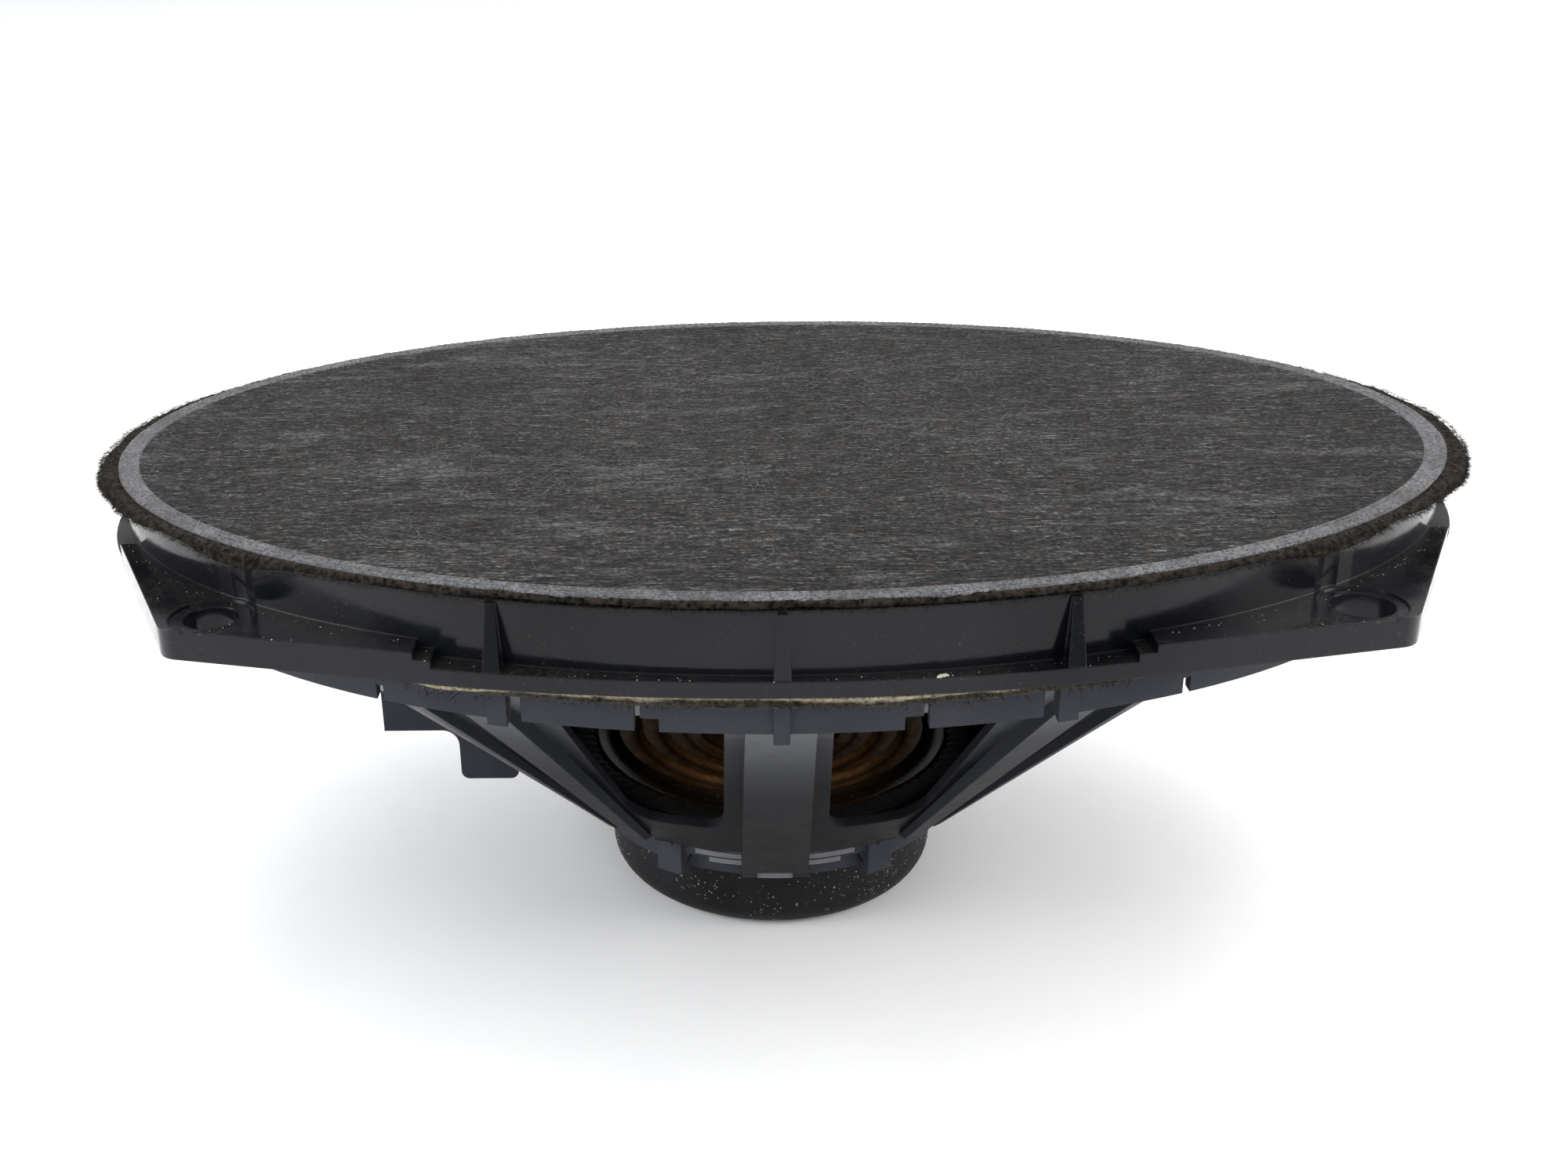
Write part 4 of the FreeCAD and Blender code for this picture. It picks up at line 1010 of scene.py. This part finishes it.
# ---- dust
class Crumbs:
    """Many small faceted grains gathered in one mesh."""

    def __init__(self, rng):
        self.rng = rng
        self.verts = []
        self.faces = []

    def add(self, place, normal, size):
        """One grain with four sides and a point, sunk a little into the surface."""
        base = len(self.verts)
        side = normal.orthogonal().normalized()
        other = normal.cross(side)
        for corner in (side, other, -side, -other):
            self.verts.append(place + corner * size * self.rng.uniform(0.6, 1.2)
                              + normal * size * self.rng.uniform(0, 0.3))
        self.verts.append(place + normal * size * self.rng.uniform(0.5, 1.0))
        self.verts.append(place - normal * size * 0.3)
        for k in range(4):
            m = (k + 1) % 4
            self.faces.append((base + k, base + m, base + 4))
            self.faces.append((base + m, base + k, base + 5))


def surface_of(node):
    mesh = frame["nodes"][node].data
    return BVHTree.FromPolygons([v.co for v in mesh.vertices], [tuple(p.vertices) for p in mesh.polygons])


def ledge_dust(crumbs, flange):
    """Crumbs on the faces of the flange that look up, and one large crumb of several grains."""
    rng = crumbs.rng
    down, reach = Vector((0, 0, -1)), 0.012
    for _ in range(LEDGE_CRUMBS):
        a = rng.uniform(0, TURN)
        near = rng.random() < 0.6
        x, y = on_oval(LEDGE, a, rng.uniform(0.2, 1.4) * MM if near else rng.uniform(0.5, 12) * MM)[:2]
        hit = flange.ray_cast(Vector((x, y, 0.0815)), down, reach)
        if hit[0] is not None and hit[1].z > 0.6:
            crumbs.add(hit[0], hit[1], rng.uniform(0.04, 0.16) * MM)
    hit = flange.ray_cast(Vector((*LARGE_CRUMB, 0.08)), down, reach)
    if hit[0] is not None:
        for k in range(5):
            crumbs.add(hit[0] + Vector((0.28 * MM * (k - 2), 0.1 * MM * k, 0)), hit[1], 0.45 * MM)


def boot_dust(crumbs, boot):
    """Crumbs in clusters on the side of the motor's cover."""
    rng = crumbs.rng
    clusters = [(rng.uniform(0, TURN), rng.uniform(0.004, 0.0125)) for _ in range(BOOT_CLUSTERS)]
    clusters += BOOT_DUST
    for _ in range(BOOT_CRUMBS):
        near_a, near_z = rng.choice(clusters)
        a = near_a + rng.gauss(0, 0.07)
        z = near_z + rng.gauss(0, 0.0016)
        outward = Vector((math.cos(a), math.sin(a), 0))
        hit = boot.ray_cast(outward * 0.05 + Vector((0, 0, z)), -outward, 0.04)
        if hit[0] is not None:
            crumbs.add(hit[0], hit[1], rng.uniform(0.04, 0.17) * MM)


def dust_grit():
    """Small crumbs of grit on the ledges, the ears and the motor's rubber boot."""
    crumbs = Crumbs(random.Random(71))
    ledge_dust(crumbs, surface_of("flange_frame"))
    boot_dust(crumbs, surface_of("magnet_boot"))
    piece = new_piece("dust_grit", crumbs.verts, crumbs.faces, GRIT, False)
    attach(piece, "frame")


# ---- floor, camera, light
def floor():
    s = Stuff("floor")
    color = s.ramp(s.noise(30, 4), [(0.3, (0.87, 0.87, 0.875)), (0.7, (0.9, 0.9, 0.9))])
    material = s.finish(color, 0.6, s.bump(s.noise(900, 3), 0.05, 0.0002))
    verts = [(x, y, 0.0) for x in (-6, 6) for y in (-6, 6)]
    piece = new_piece("floor", verts, [(0, 2, 3, 1)], material)


def camera():
    """Camera at the height and distance of a close table-top view."""
    place = Vector((-0.0061, -0.2774, 0.1695))
    pitch, yaw, roll = 0.3952, -0.0447, -0.0289
    forward = Vector((math.sin(yaw) * math.cos(pitch), math.cos(yaw) * math.cos(pitch),
                      -math.sin(pitch)))
    level = Vector((math.cos(yaw), -math.sin(yaw), 0))
    above = level.cross(forward)
    right = math.cos(roll) * level + math.sin(roll) * above
    up = -math.sin(roll) * level + math.cos(roll) * above
    data = bpy.data.cameras.new("camera")
    data.sensor_width = 36
    data.lens = 38.0232
    data.shift_x = 0.0743
    data.clip_start = 0.01
    eye = bpy.data.objects.new("camera", data)
    matrix = Matrix((right, up, -forward)).transposed().to_4x4()
    matrix.translation = place
    eye.matrix_world = matrix
    bpy.context.scene.collection.objects.link(eye)
    bpy.context.scene.camera = eye


def softbox(name, place, target, size, energy, tint=(1, 1, 1)):
    data = bpy.data.lights.new(name, "AREA")
    data.shape = "RECTANGLE"
    data.size, data.size_y = size
    data.energy = energy
    data.color = tint
    lamp = bpy.data.objects.new(name, data)
    lamp.location = place
    aim = Vector(target) - Vector(place)
    lamp.rotation_euler = aim.to_track_quat("-Z", "Y").to_euler()
    bpy.context.scene.collection.objects.link(lamp)


def lights():
    bpy.context.scene.view_settings.view_transform = "Standard"
    world = bpy.data.worlds.new("studio")
    bpy.context.scene.world = world
    world.use_nodes = True
    sky = world.node_tree.nodes["Background"]
    sky.inputs["Color"].default_value = (0.96, 0.98, 1.0, 1)
    sky.inputs["Strength"].default_value = 0.6
    softbox("ceiling", (0, 0, 3.0), (0, 0.001, 0), (11, 11), 310)
    softbox("overhead", (0.1, 0.35, 1.0), (0, 0, 0.05), (1.2, 0.7), 5)
    softbox("left", (-0.9, -0.3, 0.4), (0, 0, 0.06), (0.5, 0.7), 8, (0.97, 0.98, 1))
    softbox("right", (0.95, -0.2, 0.45), (0, 0, 0.06), (0.5, 0.7), 8, (1, 0.99, 0.97))


def main():
    finish_cad_nodes()
    cloth = scrim_piece()
    bead = bead_piece()
    felt_piece()
    felt_fuzz()
    fibres = cloth_fibres()
    lint = pale_lint()
    gasket_piece()
    gasket_fuzz()
    spider_piece()
    spider_glue()
    seat_highlights()
    surround_piece()
    leads()
    dust_grit()
    floor()
    camera()
    lights()


main()
